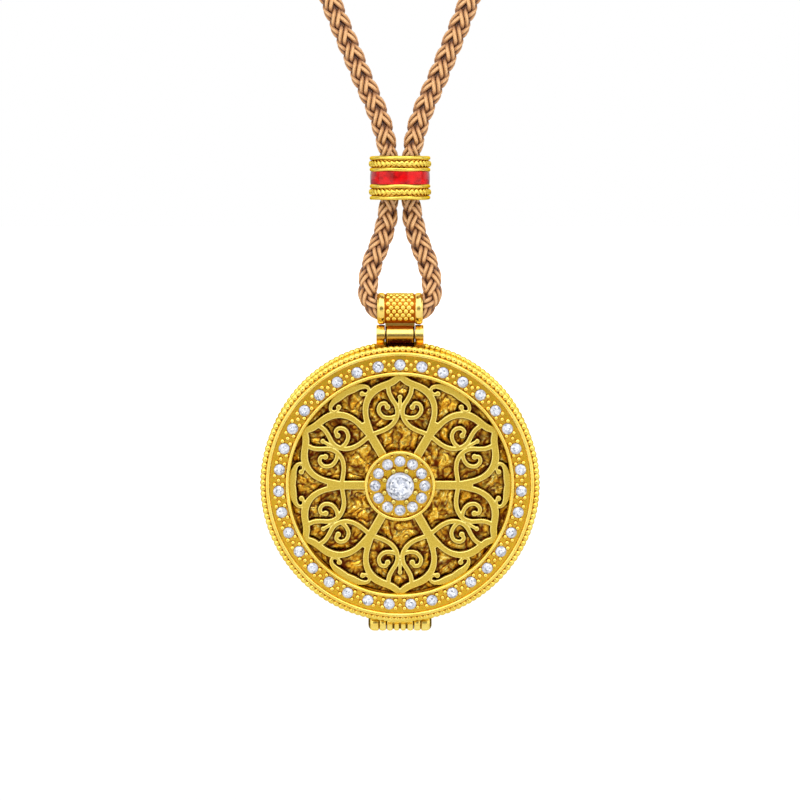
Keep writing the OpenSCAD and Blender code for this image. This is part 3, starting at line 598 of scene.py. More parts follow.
def braid(route, hand, lean):
    """Yarns of a braid along a route; hand is the lean of the column that faces the viewer, 1 or -1."""
    line, run = smooth_line(route, YARN_STEP)
    middle = np.stack([line[:, 0], np.zeros(len(line)), line[:, 1]], -1)
    along = unit(np.gradient(middle, axis=0))
    front = np.broadcast_to([0.0, -1.0, 0.0], along.shape)
    side = np.cross(along, front)
    # The bead squeezes the cord where it passes through
    from_bead = np.abs(line[:, 1] - bead_z)
    open_share = np.clip((from_bead - SQUEEZE_START) / (SQUEEZE_END - SQUEEZE_START), 0, 1)
    size = 1 - SQUEEZE * (1 - open_share ** 2 * (3 - 2 * open_share))
    size -= BEND_SQUEEZE * np.clip((barrel_z + BEND_SQUEEZE_LIFT - line[:, 1]) / BEND_SQUEEZE_RUN, 0, 1)
    points, faces, painted_crest_light, fibre = [], [], [], []
    offset = 0
    for group in (1, -1):
        for strand in range(BRAID_STRANDS):
            share = (strand + (0.5 if group < 0 else 0)) / BRAID_STRANDS
            turn = TURN * (group * run / BRAID_LEAD + share)
            wave = np.tanh(COLUMN_SHARPNESS * np.sin(BRAID_COLUMNS / 2 * turn))
            wave /= math.tanh(COLUMN_SHARPNESS)
            radius = size * (BRAID_MID_R + group * BRAID_SWING * wave)
            # The first group lies on top in the column that faces the viewer
            seen = hand * (turn - TURN / (2 * BRAID_COLUMNS)) + lean
            out = np.cos(seen)[:, None] * front + np.sin(seen)[:, None] * side
            centre = middle + radius[:, None] * out
            heading = unit(np.gradient(centre, axis=0))
            across = unit(np.cross(heading, out))
            upright = np.cross(across, heading)
            for lane in (-0.5, 0.5):
                grid = tube_grid(centre + lane * YARN_SPACING * across, across, upright, YARN_R, YARN_SIDES)
                faces += closed_tube(grid, offset)
                offset += grid.shape[0] * grid.shape[1]
                points.append(grid.reshape(-1, 3))
                # How far out each point stands, for painted light on the crests and painted shade in the
                # creases
                away = np.linalg.norm(grid - middle[:, None], axis=-1) / size[:, None]
                painted_crest_light.append(np.clip((away - CREASE_R) / (CORD_D / 2 - CREASE_R), 0, 1).ravel())
                fibre.append(fibre_places(FIBRE_STEP * len(points) + run * FIBRE_ALONG, YARN_SIDES))
    return np.concatenate(points), faces, np.concatenate(painted_crest_light), np.concatenate(fibre), run[-1]


cord_look = braid_material()


def cord_piece(name, shape, painted_crest_light, fibre, route):
    """Braided cord on its route, between the height where it hangs and the bead."""
    obj = make(name, shape, cord_look, None, (name,))
    obj.name = "braid_" + name
    store(obj, "painted_crest_light", painted_crest_light)
    store(obj, "fibre", fibre)
    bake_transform(obj)
    path = [(x * MM, 0, z * MM) for x, z in route]
    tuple(path[0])


def upper_cord(side, name):
    route = upper_route()
    points, faces, painted_crest_light, fibre, length = braid(route, -1, BRAID_TURN)
    cord_piece(name, on_side(side, points, faces), painted_crest_light, fibre, [(side * x, z) for x, z in route])


def loop_cord():
    half = half_loop()
    route = half + [(0, half[-1][1])]
    points, faces, painted_crest_light, fibre, length = braid(route, 1, BRAID_TURN)
    shape = joined([(points, faces), on_side(-1, points, faces)])
    cord_piece("cord_loop", shape, np.tile(painted_crest_light, 2), np.tile(fibre, (2, 1)),
               route + [(-x, z) for x, z in half[::-1]])


KNOT_TURNS = 6
KNOT_STEPS = 40
KNOT_TAPER = 0.35
KNOT_CORE_R = 1.9
KNOT_CORE_END_R = 1.1
KNOT_CREASE_R = 1.6


def cord_knot():
    """Knot bound with turns of a double yarn over the overlapped ends of the cord."""
    outer = (knot_high[2] - knot_low[2]) / 2
    wrap_r = (outer - KNOT_CORE_R) / 2
    steps = KNOT_STEPS * KNOT_TURNS
    turn = TURN * KNOT_TURNS * np.arange(steps + 1) / steps
    reach = KNOT_HALF - wrap_r
    along = -reach + 2 * reach * np.arange(steps + 1) / steps
    ease = 1 - KNOT_TAPER * (np.abs(along) / reach) ** 6
    radius = (outer - wrap_r) * ease
    out = np.stack([np.zeros_like(turn), np.cos(turn), np.sin(turn)], -1)
    centre = radius[:, None] * out + np.stack([along, 0 * along, 0 * along + knot_z], -1)
    heading = unit(np.gradient(centre, axis=0))
    across = unit(np.cross(heading, out))
    pitch = 2 * reach / KNOT_TURNS
    points, faces, fibre = [], [], []
    offset = 0
    for lane in (-0.25, 0.25):
        grid = tube_grid(centre + lane * pitch * across, across, out, wrap_r, YARN_SIDES + 2)
        faces += closed_tube(grid, offset)
        offset += grid.shape[0] * grid.shape[1]
        points.append(grid.reshape(-1, 3))
        fibre.append(fibre_places(turn * 2, YARN_SIDES + 2))
    core_end = [(-KNOT_HALF + 0.3, KNOT_CORE_END_R), (-KNOT_HALF + 0.8, KNOT_CORE_R)]
    core, core_faces = lathe_solid(core_end + [(-level, r) for level, r in core_end[::-1]], 24)
    points.append(about_x(core, knot_z))
    faces += [[v + offset for v in face] for face in core_faces]
    fibre.append(np.asarray(core))
    obj = make("bound_knot", (np.concatenate(points), faces), cord_look, "cord", ("cord_knot",))
    # How far out each point stands, for painted light on the crests and painted shade in the creases
    away = np.linalg.norm((np.concatenate(points) - [0, 0, knot_z])[:, 1:], axis=-1)
    store(obj, "painted_crest_light", np.clip((away - KNOT_CREASE_R) / (outer - KNOT_CREASE_R), 0, 1))
    store(obj, "fibre", np.concatenate(fibre))


upper_cord(1, "cord_right")
upper_cord(-1, "cord_left")
loop_cord()
cord_knot()


# Materials of the metal, the stones and the enamel

# Every gold paints shade into its colour by ambient occlusion: stronger between the studs, softer on the
# knuckles
polished = gold("polished_gold", 0.2)
# Knuckles: painted shade on the faces turned down, darkest in a band just below mid-height
knuckle_gold = gold("knuckle_gold", 0.2, reach=0.15, shade=linear(232, 178, 66),
                    light=linear(252, 226, 138), body=linear(248, 214, 116),
                    painted_facing_light=[(0.0, linear(255, 226, 170)), (0.2, linear(255, 228, 180)),
                              (0.44, linear(206, 184, 140)), (0.49, linear(180, 150, 110)),
                              (0.54, linear(255, 255, 255))])
rim_gold = gold("rim_gold", 0.2, light=linear(252, 226, 138), body=linear(246, 212, 110))
# Ribs of the bottom hinge: painted shade on the faces turned up, less on those turned down
rib_gold = gold("rib_gold", 0.26, reach=0.22, light=linear(255, 240, 150), body=linear(253, 228, 124),
                painted_facing_light=[(0.2, linear(255, 253, 240)), (0.45, linear(242, 228, 190))])
stud_gold = gold("stud_gold", 0.24, reach=0.5, crevice=linear(84, 20, 2), shade=linear(190, 104, 14))
# The barrel's ground between the studs is painted dark orange-brown as shade
stud_ground_painted_shade = gold("stud_ground_painted_shade", 0.5, light=linear(196, 112, 22), body=linear(164, 78, 10))
prong_gold = gold("prong_gold", 0.12, light=linear(224, 204, 120), body=linear(206, 184, 92))
beaded_gold = gold("beaded_gold", 0.22, reach=0.35, light=linear(244, 219, 108), body=linear(236, 202, 84))
ring_gold = gold("ring_gold", 0.26, reach=0.3, grain=0.18, grain_depth=0.008)
inside_gold = gold("inside_gold", 0.34, reach=0.8)
satin = satin_material()
foil = foil_material()
stones = stone_material()
enamel = enamel_material()
liner = rubber_material()


# Beaded edges of the case and the lid

def beaded_torus(ring_r, level, half_w, half_h, count, skew=0, fullness=0.9, outer=0.9, steps=8,
                 sides=18, power=2):
    """Ring of beads run together; outer is their fullness at the outer side, skew leans them."""
    phi = TURN * np.arange(sides)[:, None] / sides
    theta = TURN * np.arange(count * steps)[None, :] / (count * steps)
    across = ((theta * count + skew * phi) / TURN % 1) * 2 - 1
    share = fullness + (outer - fullness) * np.clip(np.cos(phi), 0, 1)
    size = (1 - (share * np.abs(across)) ** power) ** (1 / power)
    radius = ring_r + half_w * size * np.cos(phi)
    height = level + half_h * size * np.sin(phi)
    points = np.stack([radius * np.cos(theta), radius * np.sin(theta), height], -1)
    return points.reshape(-1, 3), wrapped_quads(sides, count * steps)


EDGE_BEADS = 148
EDGE_HALF_W = 0.46
EDGE_HALF_H = 0.4
EDGE_SLOPE = 0.3
HINGE_GAP_HALF = 1.9
RING_STEPS = 280
SMALL_RING_STEPS = 120
BEAD_STEPS = 160
DRUM_STEPS = 96


def under_hinge(points):
    """True for the points drawn on the face that lie in the shadow between the ears."""
    return (np.abs(points[:, 0]) < HINGE_GAP_HALF) & (points[:, 1] > 0)


def beaded_edge(name, low, high, body, node):
    outer = (high[0] - low[0]) / 2
    level = -(low[1] + high[1]) / 2
    points, faces = beaded_torus(outer - EDGE_HALF_W, level, EDGE_HALF_W, EDGE_HALF_H, EDGE_BEADS,
                                 fullness=0.93, outer=0.7)
    obj = make(name, (on_face(points), faces), beaded_gold, body, (node,))
    if body == "case":
        # Painted shadow on the case's beads between the ears
        store(obj, "painted_deep_shade", under_hinge(points))


beaded_edge("front_milgrain", front_low, front_high, "lid", "front_beading")
beaded_edge("rear_milgrain", rear_low, rear_high, "case", "rear_beading")


# Bezel of the lid

EDGE_SEAT_R = 17.3
EDGE_SEAT_DEPTH = 1.05
RING_OUTER_W = 0.6
RING_INNER_W = 0.55
OPENING_R = 14.2
CHANNEL_DEPTH = 0.39
CHANNEL_STEPS = 8
CROWN_STEPS = 10
CROWN_LEVEL = -bezel_low[1]
PARTING_LEVEL = -bezel_high[1]
WALL_R = 16.9
SKIRT_R = 16.08
SEAT_R = (foil_high[0] - foil_low[0]) / 2 + 0.02
PLATE_LEVEL = -plate_low[1]
PLATE_BACK = -plate_high[1]
GROUND_BACK = -foil_high[1]


def lid_bezel():
    channel = CROWN_LEVEL - CHANNEL_DEPTH
    low = CROWN_LEVEL - EDGE_SEAT_DEPTH
    inner, outer = OPENING_R + RING_INNER_W, EDGE_SEAT_R - RING_OUTER_W
    outline = [(SKIRT_R, PARTING_LEVEL), (WALL_R, PARTING_LEVEL), (WALL_R, low - EDGE_SLOPE),
               (EDGE_SEAT_R, low), (EDGE_SEAT_R, channel)]
    outline += crown(EDGE_SEAT_R, outer, channel, CROWN_LEVEL, CROWN_STEPS)[1:]
    outline += [(outer - k * (outer - inner) / CHANNEL_STEPS, channel) for k in range(1, CHANNEL_STEPS)]
    outline += crown(inner, OPENING_R, channel, CROWN_LEVEL, CROWN_STEPS)
    outline += [(OPENING_R, PLATE_LEVEL), (SEAT_R, PLATE_LEVEL), (SEAT_R, GROUND_BACK),
                (SKIRT_R, GROUND_BACK)]
    points, faces = lathe(outline, RING_STEPS)
    obj = make("bezel_ring", (on_face(points), faces), ring_gold, "lid", ("lid_bezel",),
               sharp=50)
    radius = np.hypot(points[:, 0], points[:, 1])
    in_channel = (radius < outer + TOUCH) & (radius > inner - TOUCH)
    # The channel's floor is marked for painted shade
    store(obj, "painted_recess_shade", in_channel & (np.abs(points[:, 2] - channel) < TOUCH))
    # Painted shadow on the lid's wall between the ears
    store(obj, "painted_deep_shade", under_hinge(points) & (radius > WALL_R - TOUCH) & (points[:, 2] < low - TOUCH))


lid_bezel()


# Wall and back of the case

CASE_BORE_R = 16.0
REAR_SEAT_R = 17.4
REAR_EDGE_W = 0.75
BACK_RING_R = 15.3
BACK_LAND_R = 14.7
BACK_PANEL_R = 14.3
BACK_LAND_LEVEL = -3.37
BACK_PANEL_LEVEL = -3.52


def case_wall():
    front, seat = -case_low[1], -case_high[1]
    outline = [(CASE_BORE_R, seat), (REAR_SEAT_R, seat), (REAR_SEAT_R, seat + REAR_EDGE_W),
               (WALL_R, seat + REAR_EDGE_W + EDGE_SLOPE), (WALL_R, front), (CASE_BORE_R, front)]
    points, faces = lathe(outline, RING_STEPS)
    obj = make("case_wall", (on_face(points), faces), ring_gold, "case", ("rear_case",),
               sharp=40)
    outer = np.hypot(points[:, 0], points[:, 1]) > WALL_R - TOUCH
    # Painted shadow on the case's wall between the ears
    store(obj, "painted_deep_shade", under_hinge(points) & outer)


def back_cover():
    seat, top = -back_low[1], -back_high[1]
    outline = [(AXIS_R, seat), (AXIS_R, BACK_PANEL_LEVEL), (BACK_PANEL_R, BACK_PANEL_LEVEL),
               (BACK_LAND_R, BACK_LAND_LEVEL)]
    outline += crown(BACK_RING_R, REAR_SEAT_R, BACK_LAND_LEVEL, top, 12)
    outline.append((REAR_SEAT_R, seat))
    points, faces = lathe(outline, RING_STEPS)
    make("back_cover", (on_face(points), faces), ring_gold, "case", ("back_plate",),
         sharp=30)


case_wall()
back_cover()


# Pierced lotus plate

PETALS = 6
PETAL_EDGE_SHARES = [(0, 1.03), (0.0915, 0.967), (0.19, 0.927), (0.26, 0.885), (0.31, 0.813),
                     (0.3345, 0.7415), (0.338, 0.669), (0.329, 0.6), (0.311, 0.539)]
PETAL_HOLE_SHARES = [(0, 0.955), (0.05, 0.914), (0.11, 0.888), (0.175, 0.859), (0.228, 0.818),
                     (0.265, 0.766), (0.283, 0.7), (0.281, 0.636), (0.264, 0.572), (0.238, 0.493)]
LYRE_SHARES = [(0.106, 0.905), (0.099, 0.845), (0.07, 0.785), (0.034, 0.727), (0.022, 0.668),
               (0.036, 0.605), (0.078, 0.549), (0.141, 0.507), (0.232, 0.472)]
VOLUTE_SHARES = [(0.03, 0.634), (0.09, 0.616), (0.153, 0.628), (0.192, 0.68), (0.178, 0.735),
                 (0.135, 0.748), (0.112, 0.714)]
VOLUTE_BUD_SHARE = 0.027
STEM_SHARES = [(0, 0.7), (0, 0.75), (0, 0.805)]
LEAF_SHARES = [(0.02, 0.985), (0.075, 0.972), (0.13, 0.96), (0.177, 0.938), (0.197, 0.907),
               (0.181, 0.878), (0.147, 0.874), (0.122, 0.893)]
LEAF_WIDTH_SHARES = [2, 1.7, 1.25, 0.9, 0.75, 0.7, 0.7, 0.8]
LEAF_BUD_SHARE = 0.025
SCROLL_W = 0.62
VOLUTE_W = 0.9 * SCROLL_W
STEM_W = 0.75 * SCROLL_W
STEM_BUD_R = 1.05 * SCROLL_W / 2
SPOKE_W = 1.15
SPOKE_SHARE = 0.665
HUB_R = (collet_high[0] - collet_low[0]) / 2
HUB_FOOT_OVERLAP = 0.3
SPOKE_FOOT_W = 0.9
PLATE_RIM_R = (plate_high[0] - plate_low[0]) / 2
PLATE_RIM_W = 0.5
PLATE_CELL = 0.08
PLATE_ROUND = 0.17
PLATE_ROUND_FULLNESS = 0.98
PLATE_ROUND_LEAN = 0.96
# Strength of the painted highlight on the rounded edges
PLATE_PAINTED_HIGHLIGHT = 1.15
SNAP_SHARE = 0.4


def smooth_shares(shares, steps=4):
    """Points on a smooth curve through an outline's shares, as real sizes."""
    route = OPENING_R * np.asarray(shares, float)
    ends = np.concatenate([route[:1], route, route[-1:]])
    return smooth_curve(ends, steps)


def to_segment(p, a, b, width_a=0.0, width_b=0.0):
    """Distance from points to a stroke whose half width runs from one end to the other."""
    d = b - a
    t = np.clip(((p - a) @ d) / max(d @ d, 1e-12), 0, 1)
    return np.linalg.norm(p - a - t[..., None] * d, axis=-1) - (width_a + (width_b - width_a) * t)


def stroke(p, line, widths):
    """Distance from points to a band along a line."""
    widths = np.broadcast_to(widths, len(line)) / 2
    return np.min([to_segment(p, a, b, w, v)
                   for a, b, w, v in zip(line[:-1], line[1:], widths[:-1], widths[1:])], axis=0)


def to_outline(p, line):
    """Distance from points to a closed outline, negative inside."""
    closed = np.concatenate([line, line[:1]])
    inside = np.zeros(p.shape[:-1], bool)
    for a, b in zip(closed[:-1], closed[1:]):
        rises = (a[1] > p[..., 1]) != (b[1] > p[..., 1])
        height = b[1] - a[1] if b[1] != a[1] else 1e-12
        crossing = a[0] + (p[..., 1] - a[1]) * (b[0] - a[0]) / height
        inside ^= rises & (p[..., 0] < crossing)
    away = stroke(p, closed, 0.0)
    return np.where(inside, -away, away)


def plate_distance(x, y):
    """Distance from points on the face to the metal of the pierced plate, negative in the metal."""
    radius = np.hypot(x, y)
    angle = np.arctan2(x, y)
    wedge = TURN / PETALS
    from_petal = np.abs(angle - wedge * np.round(angle / wedge))
    from_spoke = wedge / 2 - from_petal
    petal = np.stack([radius * np.sin(from_petal), radius * np.cos(from_petal)], -1)
    spoke = np.stack([radius * np.sin(from_spoke), radius * np.cos(from_spoke)], -1)
    edge = smooth_shares(PETAL_EDGE_SHARES)
    solid = to_outline(petal, np.concatenate([edge, [[0, 0]], (edge * [-1, 1])[::-1]]))
    hole = smooth_shares(PETAL_HOLE_SHARES)
    half = wedge / 2
    foot = ((HUB_R - HUB_FOOT_OVERLAP) * np.array([math.sin(half), math.cos(half)])
            + SPOKE_FOOT_W / 2 * np.array([-math.cos(half), math.sin(half)]))
    opening = to_outline(petal, np.concatenate([hole, [foot], [foot * [-1, 1]], (hole * [-1, 1])[::-1]]))
    parts = [np.maximum(solid, -opening)]
    parts.append(stroke(petal, smooth_shares(LYRE_SHARES), SCROLL_W))
    volute = smooth_shares(VOLUTE_SHARES)
    parts.append(stroke(petal, volute, VOLUTE_W))
    parts.append(np.linalg.norm(petal - volute[-1], axis=-1) - VOLUTE_BUD_SHARE * OPENING_R)
    stem = OPENING_R * np.array(STEM_SHARES, float)
    parts.append(stroke(petal, stem, STEM_W))
    parts.append(np.linalg.norm(petal - stem[-1], axis=-1) - STEM_BUD_R)
    leaf = smooth_shares(LEAF_SHARES)
    place = np.linspace(0, len(LEAF_WIDTH_SHARES) - 1, len(leaf))
    widths = SCROLL_W * np.interp(place, np.arange(len(LEAF_WIDTH_SHARES)), LEAF_WIDTH_SHARES)
    parts.append(stroke(spoke, leaf, widths))
    parts.append(np.linalg.norm(spoke - leaf[-1], axis=-1) - LEAF_BUD_SHARE * OPENING_R)
    parts.append(np.maximum(spoke[..., 0] - SPOKE_W / 2, spoke[..., 1] - SPOKE_SHARE * OPENING_R))
    parts.append(np.abs(radius - (PLATE_RIM_R - PLATE_RIM_W / 2)) - PLATE_RIM_W / 2)
    metal = np.min(parts, axis=0)
    metal = np.maximum(metal, HUB_R - HUB_FOOT_OVERLAP - radius)
    return np.maximum(metal, radius - PLATE_RIM_R)


def slope(field, x, y, step=0.01):
    """Direction in which a field grows fastest."""
    right = field(x + step, y) - field(x - step, y)
    up = field(x, y + step) - field(x, y - step)
    return unit(np.stack([right, up], -1) + 1e-12)


def cut_sheet(field, reach, cell):
    """Triangles of a flat sheet where a field is negative, with its edge on the field's zero."""
    count = 2 * int(reach / cell) + 3
    line = cell * (np.arange(count) - (count - 1) / 2)
    x, y = (g.ravel() for g in np.meshgrid(line, line, indexing="ij"))
    value = field(x, y)
    # Points close to the edge move onto it
    close = np.abs(value) < SNAP_SHARE * cell
    way = slope(field, x[close], y[close])
    x[close] -= value[close] * way[:, 0]
    y[close] -= value[close] * way[:, 1]
    value[close] = 0
    ids = np.arange(count * count).reshape(count, count)
    a, b, c, d = (g.ravel() for g in (ids[:-1, :-1], ids[1:, :-1], ids[1:, 1:], ids[:-1, 1:]))
    triangles = np.concatenate([np.stack([a, b, c], -1), np.stack([a, c, d], -1)])
    inside = value[triangles] <= 0
    count_in = inside.sum(1)
    whole = triangles[count_in == 3]
    on_edge = (value[whole] == 0).all(1)
    middle_x, middle_y = x[whole[on_edge]].mean(1), y[whole[on_edge]].mean(1)
    keep = np.ones(len(whole), bool)
    keep[on_edge] = field(middle_x, middle_y) < 0
    whole = whole[keep]
    points = [np.stack([x, y], -1)]
    faces = [whole]
    start = len(x)
    made = {}

    def crossings(one, other):
        """Point on the edge between an inside and an outside grid point, made once."""
        nonlocal start
        low, high = np.minimum(one, other), np.maximum(one, other)
        key = low.astype(np.int64) * len(x) + high
        unique, back = np.unique(key, return_inverse=True)
        result = np.empty(len(unique), int)
        fresh = []
        for k, code in enumerate(unique):
            if code not in made:
                made[code] = start + len(fresh)
                fresh.append(code)
            result[k] = made[code]
        if fresh:
            fresh = np.array(fresh)
            p, q = fresh // len(x), fresh % len(x)
            t = value[p] / (value[p] - value[q])
            points.append(np.stack([x[p] + t * (x[q] - x[p]), y[p] + t * (y[q] - y[p])], -1))
            start += len(fresh)
        return result[back]

    for count_want in (1, 2):
        some = triangles[count_in == count_want]
        which = inside[count_in == count_want]
        first = (which if count_want == 1 else ~which).argmax(1)
        rows = np.arange(len(some))
        one, two, three = (some[rows, (first + k) % 3] for k in range(3))
        cut_two, cut_three = crossings(one, two), crossings(one, three)
        if count_want == 1:
            # An inside point at zero has its crossings on itself, so it adds no face
            full = value[one] < 0
            faces.append(np.stack([one, cut_two, cut_three], -1)[full])
        else:
            faces.append(np.stack([cut_two, two, three], -1)[value[two] < 0])
            faces.append(np.stack([cut_two, three, cut_three], -1)[value[three] < 0])
    points = np.concatenate(points)
    faces = np.concatenate(faces)
    area = np.cross(points[faces[:, 1]] - points[faces[:, 0]], points[faces[:, 2]] - points[faces[:, 0]])
    faces = faces[area > 1e-9]
    used, back = np.unique(faces, return_inverse=True)
    return points[used], back.reshape(-1, 3)


def outline_edges(faces):
    """Edges that belong to one face only, in that face's direction."""
    edges = np.concatenate([faces[:, [0, 1]], faces[:, [1, 2]], faces[:, [2, 0]]])
    size = faces.max() + 1
    forward = edges[:, 0].astype(np.int64) * size + edges[:, 1]
    backward = edges[:, 1].astype(np.int64) * size + edges[:, 0]
    return edges[~np.isin(forward, backward)]


def pierced_lotus():
    flat, top_faces = cut_sheet(plate_distance, PLATE_RIM_R, PLATE_CELL)
    depth = np.clip(-plate_distance(flat[:, 0], flat[:, 1]), 0, None)
    inward = np.clip(1 - depth / PLATE_ROUND, 0, 1)
    top = PLATE_LEVEL - PLATE_ROUND * (1 - np.sqrt(1 - inward ** 2 * PLATE_ROUND_FULLNESS))
    # The shading leans outwards over the rounded edges
    away = slope(plate_distance, flat[:, 0], flat[:, 1])
    lean = inward * PLATE_ROUND_LEAN
    normal = np.concatenate([away * lean[:, None], np.sqrt(1 - lean ** 2)[:, None]], -1)
    n = len(flat)
    upper = np.column_stack([flat, top])
    lower = np.column_stack([flat, np.full(n, PLATE_BACK)])
    edge = outline_edges(top_faces)
    rim = np.unique(edge)
    back = np.full(n, -1)
    back[rim] = np.arange(len(rim))
    # The side wall has its own points so that its shading turns sharply
    wall_top = upper[rim]
    wall_foot = lower[rim]
    points = np.concatenate([upper, lower, wall_top, wall_foot])
    wall_a, wall_b = 2 * n + back[edge[:, 0]], 2 * n + back[edge[:, 1]]
    drop = len(rim)
    walls = np.stack([wall_b, wall_a, wall_a + drop, wall_b + drop], -1)
    out = np.concatenate([away[rim], np.zeros((drop, 1))], -1)
    normals = np.concatenate([normal, np.tile([[0, 0, -1.0]], (n, 1)), out, out])
    faces = top_faces.tolist() + (top_faces[:, ::-1] + n).tolist() + walls.tolist()
    turned = on_face(normals) - on_face(np.zeros(3))
    obj = make("lotus_openwork", (on_face(points), faces), satin, "lid", ("pierced_lotus",),
               normals=turned)
    # Painted highlight over the rounded edges
    painted_edge_highlight = np.clip(PLATE_PAINTED_HIGHLIGHT * inward, 0, 1)
    store(obj, "edge", np.concatenate([painted_edge_highlight, np.zeros(n), np.zeros(2 * drop)]))


pierced_lotus()


# Crumpled foil behind the openwork

FOIL_CELL = 0.14
FOIL_FOLD = 0.17
FOIL_BEND = 0.7
FOIL_BEND_SIZE = 1.9
FOIL_FOLD_SIZE = 1.25
FOIL_FINE_SIZE = 0.55
# Reach and start of the painted shadow beside the openwork
FOIL_PAINTED_SHADE_REACH = 0.42
FOIL_PAINTED_SHADE_START = 0.05
# Strength of the painted shade in the foil's creases
FOIL_PAINTED_CREASE_SHADE = 1.6


def wander(x, y, size, seed):
    """Smooth noise at points on the face, with features about size millimetres wide."""
    return np.array([noise.noise(Vector((a / size, b / size, seed))) for a, b in zip(x, y)])


def ground_foil():
    reach = (foil_high[0] - foil_low[0]) / 2

    def disc(x, y):
        return np.hypot(x, y) - reach

    flat, top_faces = cut_sheet(disc, reach, FOIL_CELL)
    x, y = flat.T
    bent_x = x + FOIL_BEND * wander(x, y, FOIL_BEND_SIZE, 3.0)
    bent_y = y + FOIL_BEND * wander(x, y, FOIL_BEND_SIZE, 8.0)
    # 0 in a crease, 1 on the highest ridge between creases
    folds = np.abs(wander(bent_x, bent_y, FOIL_FOLD_SIZE, 1.0))
    folds += 0.5 * np.abs(wander(bent_x, bent_y, FOIL_FINE_SIZE, 5.0))
    folds /= folds.max()
    level = -foil_low[1] + FOIL_FOLD * (2.2 * folds - 1.3).clip(-1.2, 1)
    # Painted shadow of the openwork: darker the nearer the strokes, full under them
    gap = plate_distance(x, y)
    painted_openwork_shade = np.clip(1 - (gap - FOIL_PAINTED_SHADE_START) / FOIL_PAINTED_SHADE_REACH, 0, 1) ** 1.3
    painted_openwork_shade = np.where(gap < 0, 1, painted_openwork_shade)
    n = len(flat)
    edge = outline_edges(top_faces)
    points = np.concatenate([np.column_stack([flat, level]),
                             np.column_stack([flat, np.full(n, GROUND_BACK)])])
    walls = np.stack([edge[:, 1], edge[:, 0], edge[:, 0] + n, edge[:, 1] + n], -1)
    faces = top_faces.tolist() + (top_faces[:, ::-1] + n).tolist() + walls.tolist()
    obj = make("crumpled_foil", (on_face(points), faces), foil, "lid", ("ground_foil",),
               sharp=60)
    store(obj, "painted_openwork_shade", np.concatenate([painted_openwork_shade, np.ones(n)]))
    # Painted shade in the creases of the foil
    store(obj, "low", np.concatenate([1 - np.clip(folds * FOIL_PAINTED_CREASE_SHADE, 0, 1), np.ones(n)]))


ground_foil()


# Cut stones

GIRDLE_SHARE = 0.06
CROWN_SHARE = 0.16
PAVILION_SHARE = 0.36
TABLE_SHARE = 0.56
STONE_TILT = 0.05


def fine_stone():
    """Large brilliant of diameter 1 with many small facets, and the range of painted light of each."""
    top = GIRDLE_SHARE + CROWN_SHARE
    radii = [0.1, 0.19, 0.28, 0.36, 0.43, 0.5]
    levels = [GIRDLE_SHARE + share * CROWN_SHARE for share in (1, 1, 1, 0.62, 0.3, 0)]
    count = 16
    points = [[0, 0, top]]
    for row, (radius, level) in enumerate(zip(radii + [0.5], levels + [0])):
        angle = TURN * (np.arange(count) + 0.5 * (row % 2)) / count
        points += np.column_stack([radius * np.cos(angle), radius * np.sin(angle),
                                   np.full(count, level)]).tolist()
    points.append([0, 0, -PAVILION_SHARE])
    ranges = [(0.7, 1), (0.3, 1), (0.1, 1), (0, 1), (0, 1), (0.2, 0.8)]
    faces, tones = [], []
    for k in range(count):
        faces.append([0, 1 + k, 1 + (k + 1) % count])
        tones.append(ranges[0])
        for row in range(len(radii)):
            a, b = 1 + row * count, 1 + (row + 1) * count
            step = row % 2
            faces.append([a + k, b + (k + step) % count, a + (k + 1) % count])
            faces.append([b + (k + step) % count, b + (k + 1 + step) % count, a + (k + 1) % count])
            tones += [ranges[min(row + 1, 5)]] * 2
        last = 1 + len(radii) * count
        faces.append([last + (k + 1) % count, last + k, len(points) - 1])
        tones.append(ranges[5])
    return np.array(points), faces, tones


def cut_stone():
    """Round brilliant of diameter 1 with its girdle's foot at zero, and the range of painted light of each
    facet's kind.
    """
    top = GIRDLE_SHARE + CROWN_SHARE

    def ring(count, start, radius, level):
        angle = TURN * (np.arange(count) + start) / count
        return np.column_stack([radius * np.cos(angle), radius * np.sin(angle), np.full(count, level)])

    table = ring(8, 0, TABLE_SHARE / 2, top)
    inner = ring(8, 0.5, 0.13, top)
    mid = ring(8, 0.5, 0.4, GIRDLE_SHARE + 0.5 * CROWN_SHARE)
    girdle = ring(16, 0, 0.5, GIRDLE_SHARE)
    foot = ring(16, 0, 0.5, 0)
    points = np.concatenate([table, inner, mid, girdle, foot, [[0, 0, top], [0, 0, -PAVILION_SHARE]]])
    t, i, m, g, f, o, c = 0, 8, 16, 24, 40, 56, 57
    faces, tones = [], []

    def add(face, tone):
        faces.append(face)
        tones.append(tone)

    for k in range(8):
        nxt, prv = (k + 1) % 8, (k - 1) % 8
        add([o, i + prv, i + k], (0.5, 1.0))
        add([i + prv, t + k, i + k], (0.1, 1.0))
        add([i + k, t + k, t + nxt], (0.05, 1.0))
        add([t + nxt, t + k, m + k], (0.35, 0.8))
        add([t + k, m + prv, g + 2 * k, m + k], (0.15, 0.95))
        add([m + k, g + 2 * k, g + 2 * k + 1], (0.25, 0.5))
        add([m + k, g + 2 * k + 1, g + (2 * k + 2) % 16], (0.3, 0.55))
    for k in range(16):
        nxt = (k + 1) % 16
        add([g + k, f + k, f + nxt, g + nxt], (0.3, 0.5))
        add([f + nxt, f + k, c], (0.2, 0.6))
    return points, faces, tones


def turned(points, angle):
    c, s = math.cos(angle), math.sin(angle)
    return np.column_stack([c * points[:, 0] - s * points[:, 1], s * points[:, 0] + c * points[:, 1],
                            points[:, 2]])


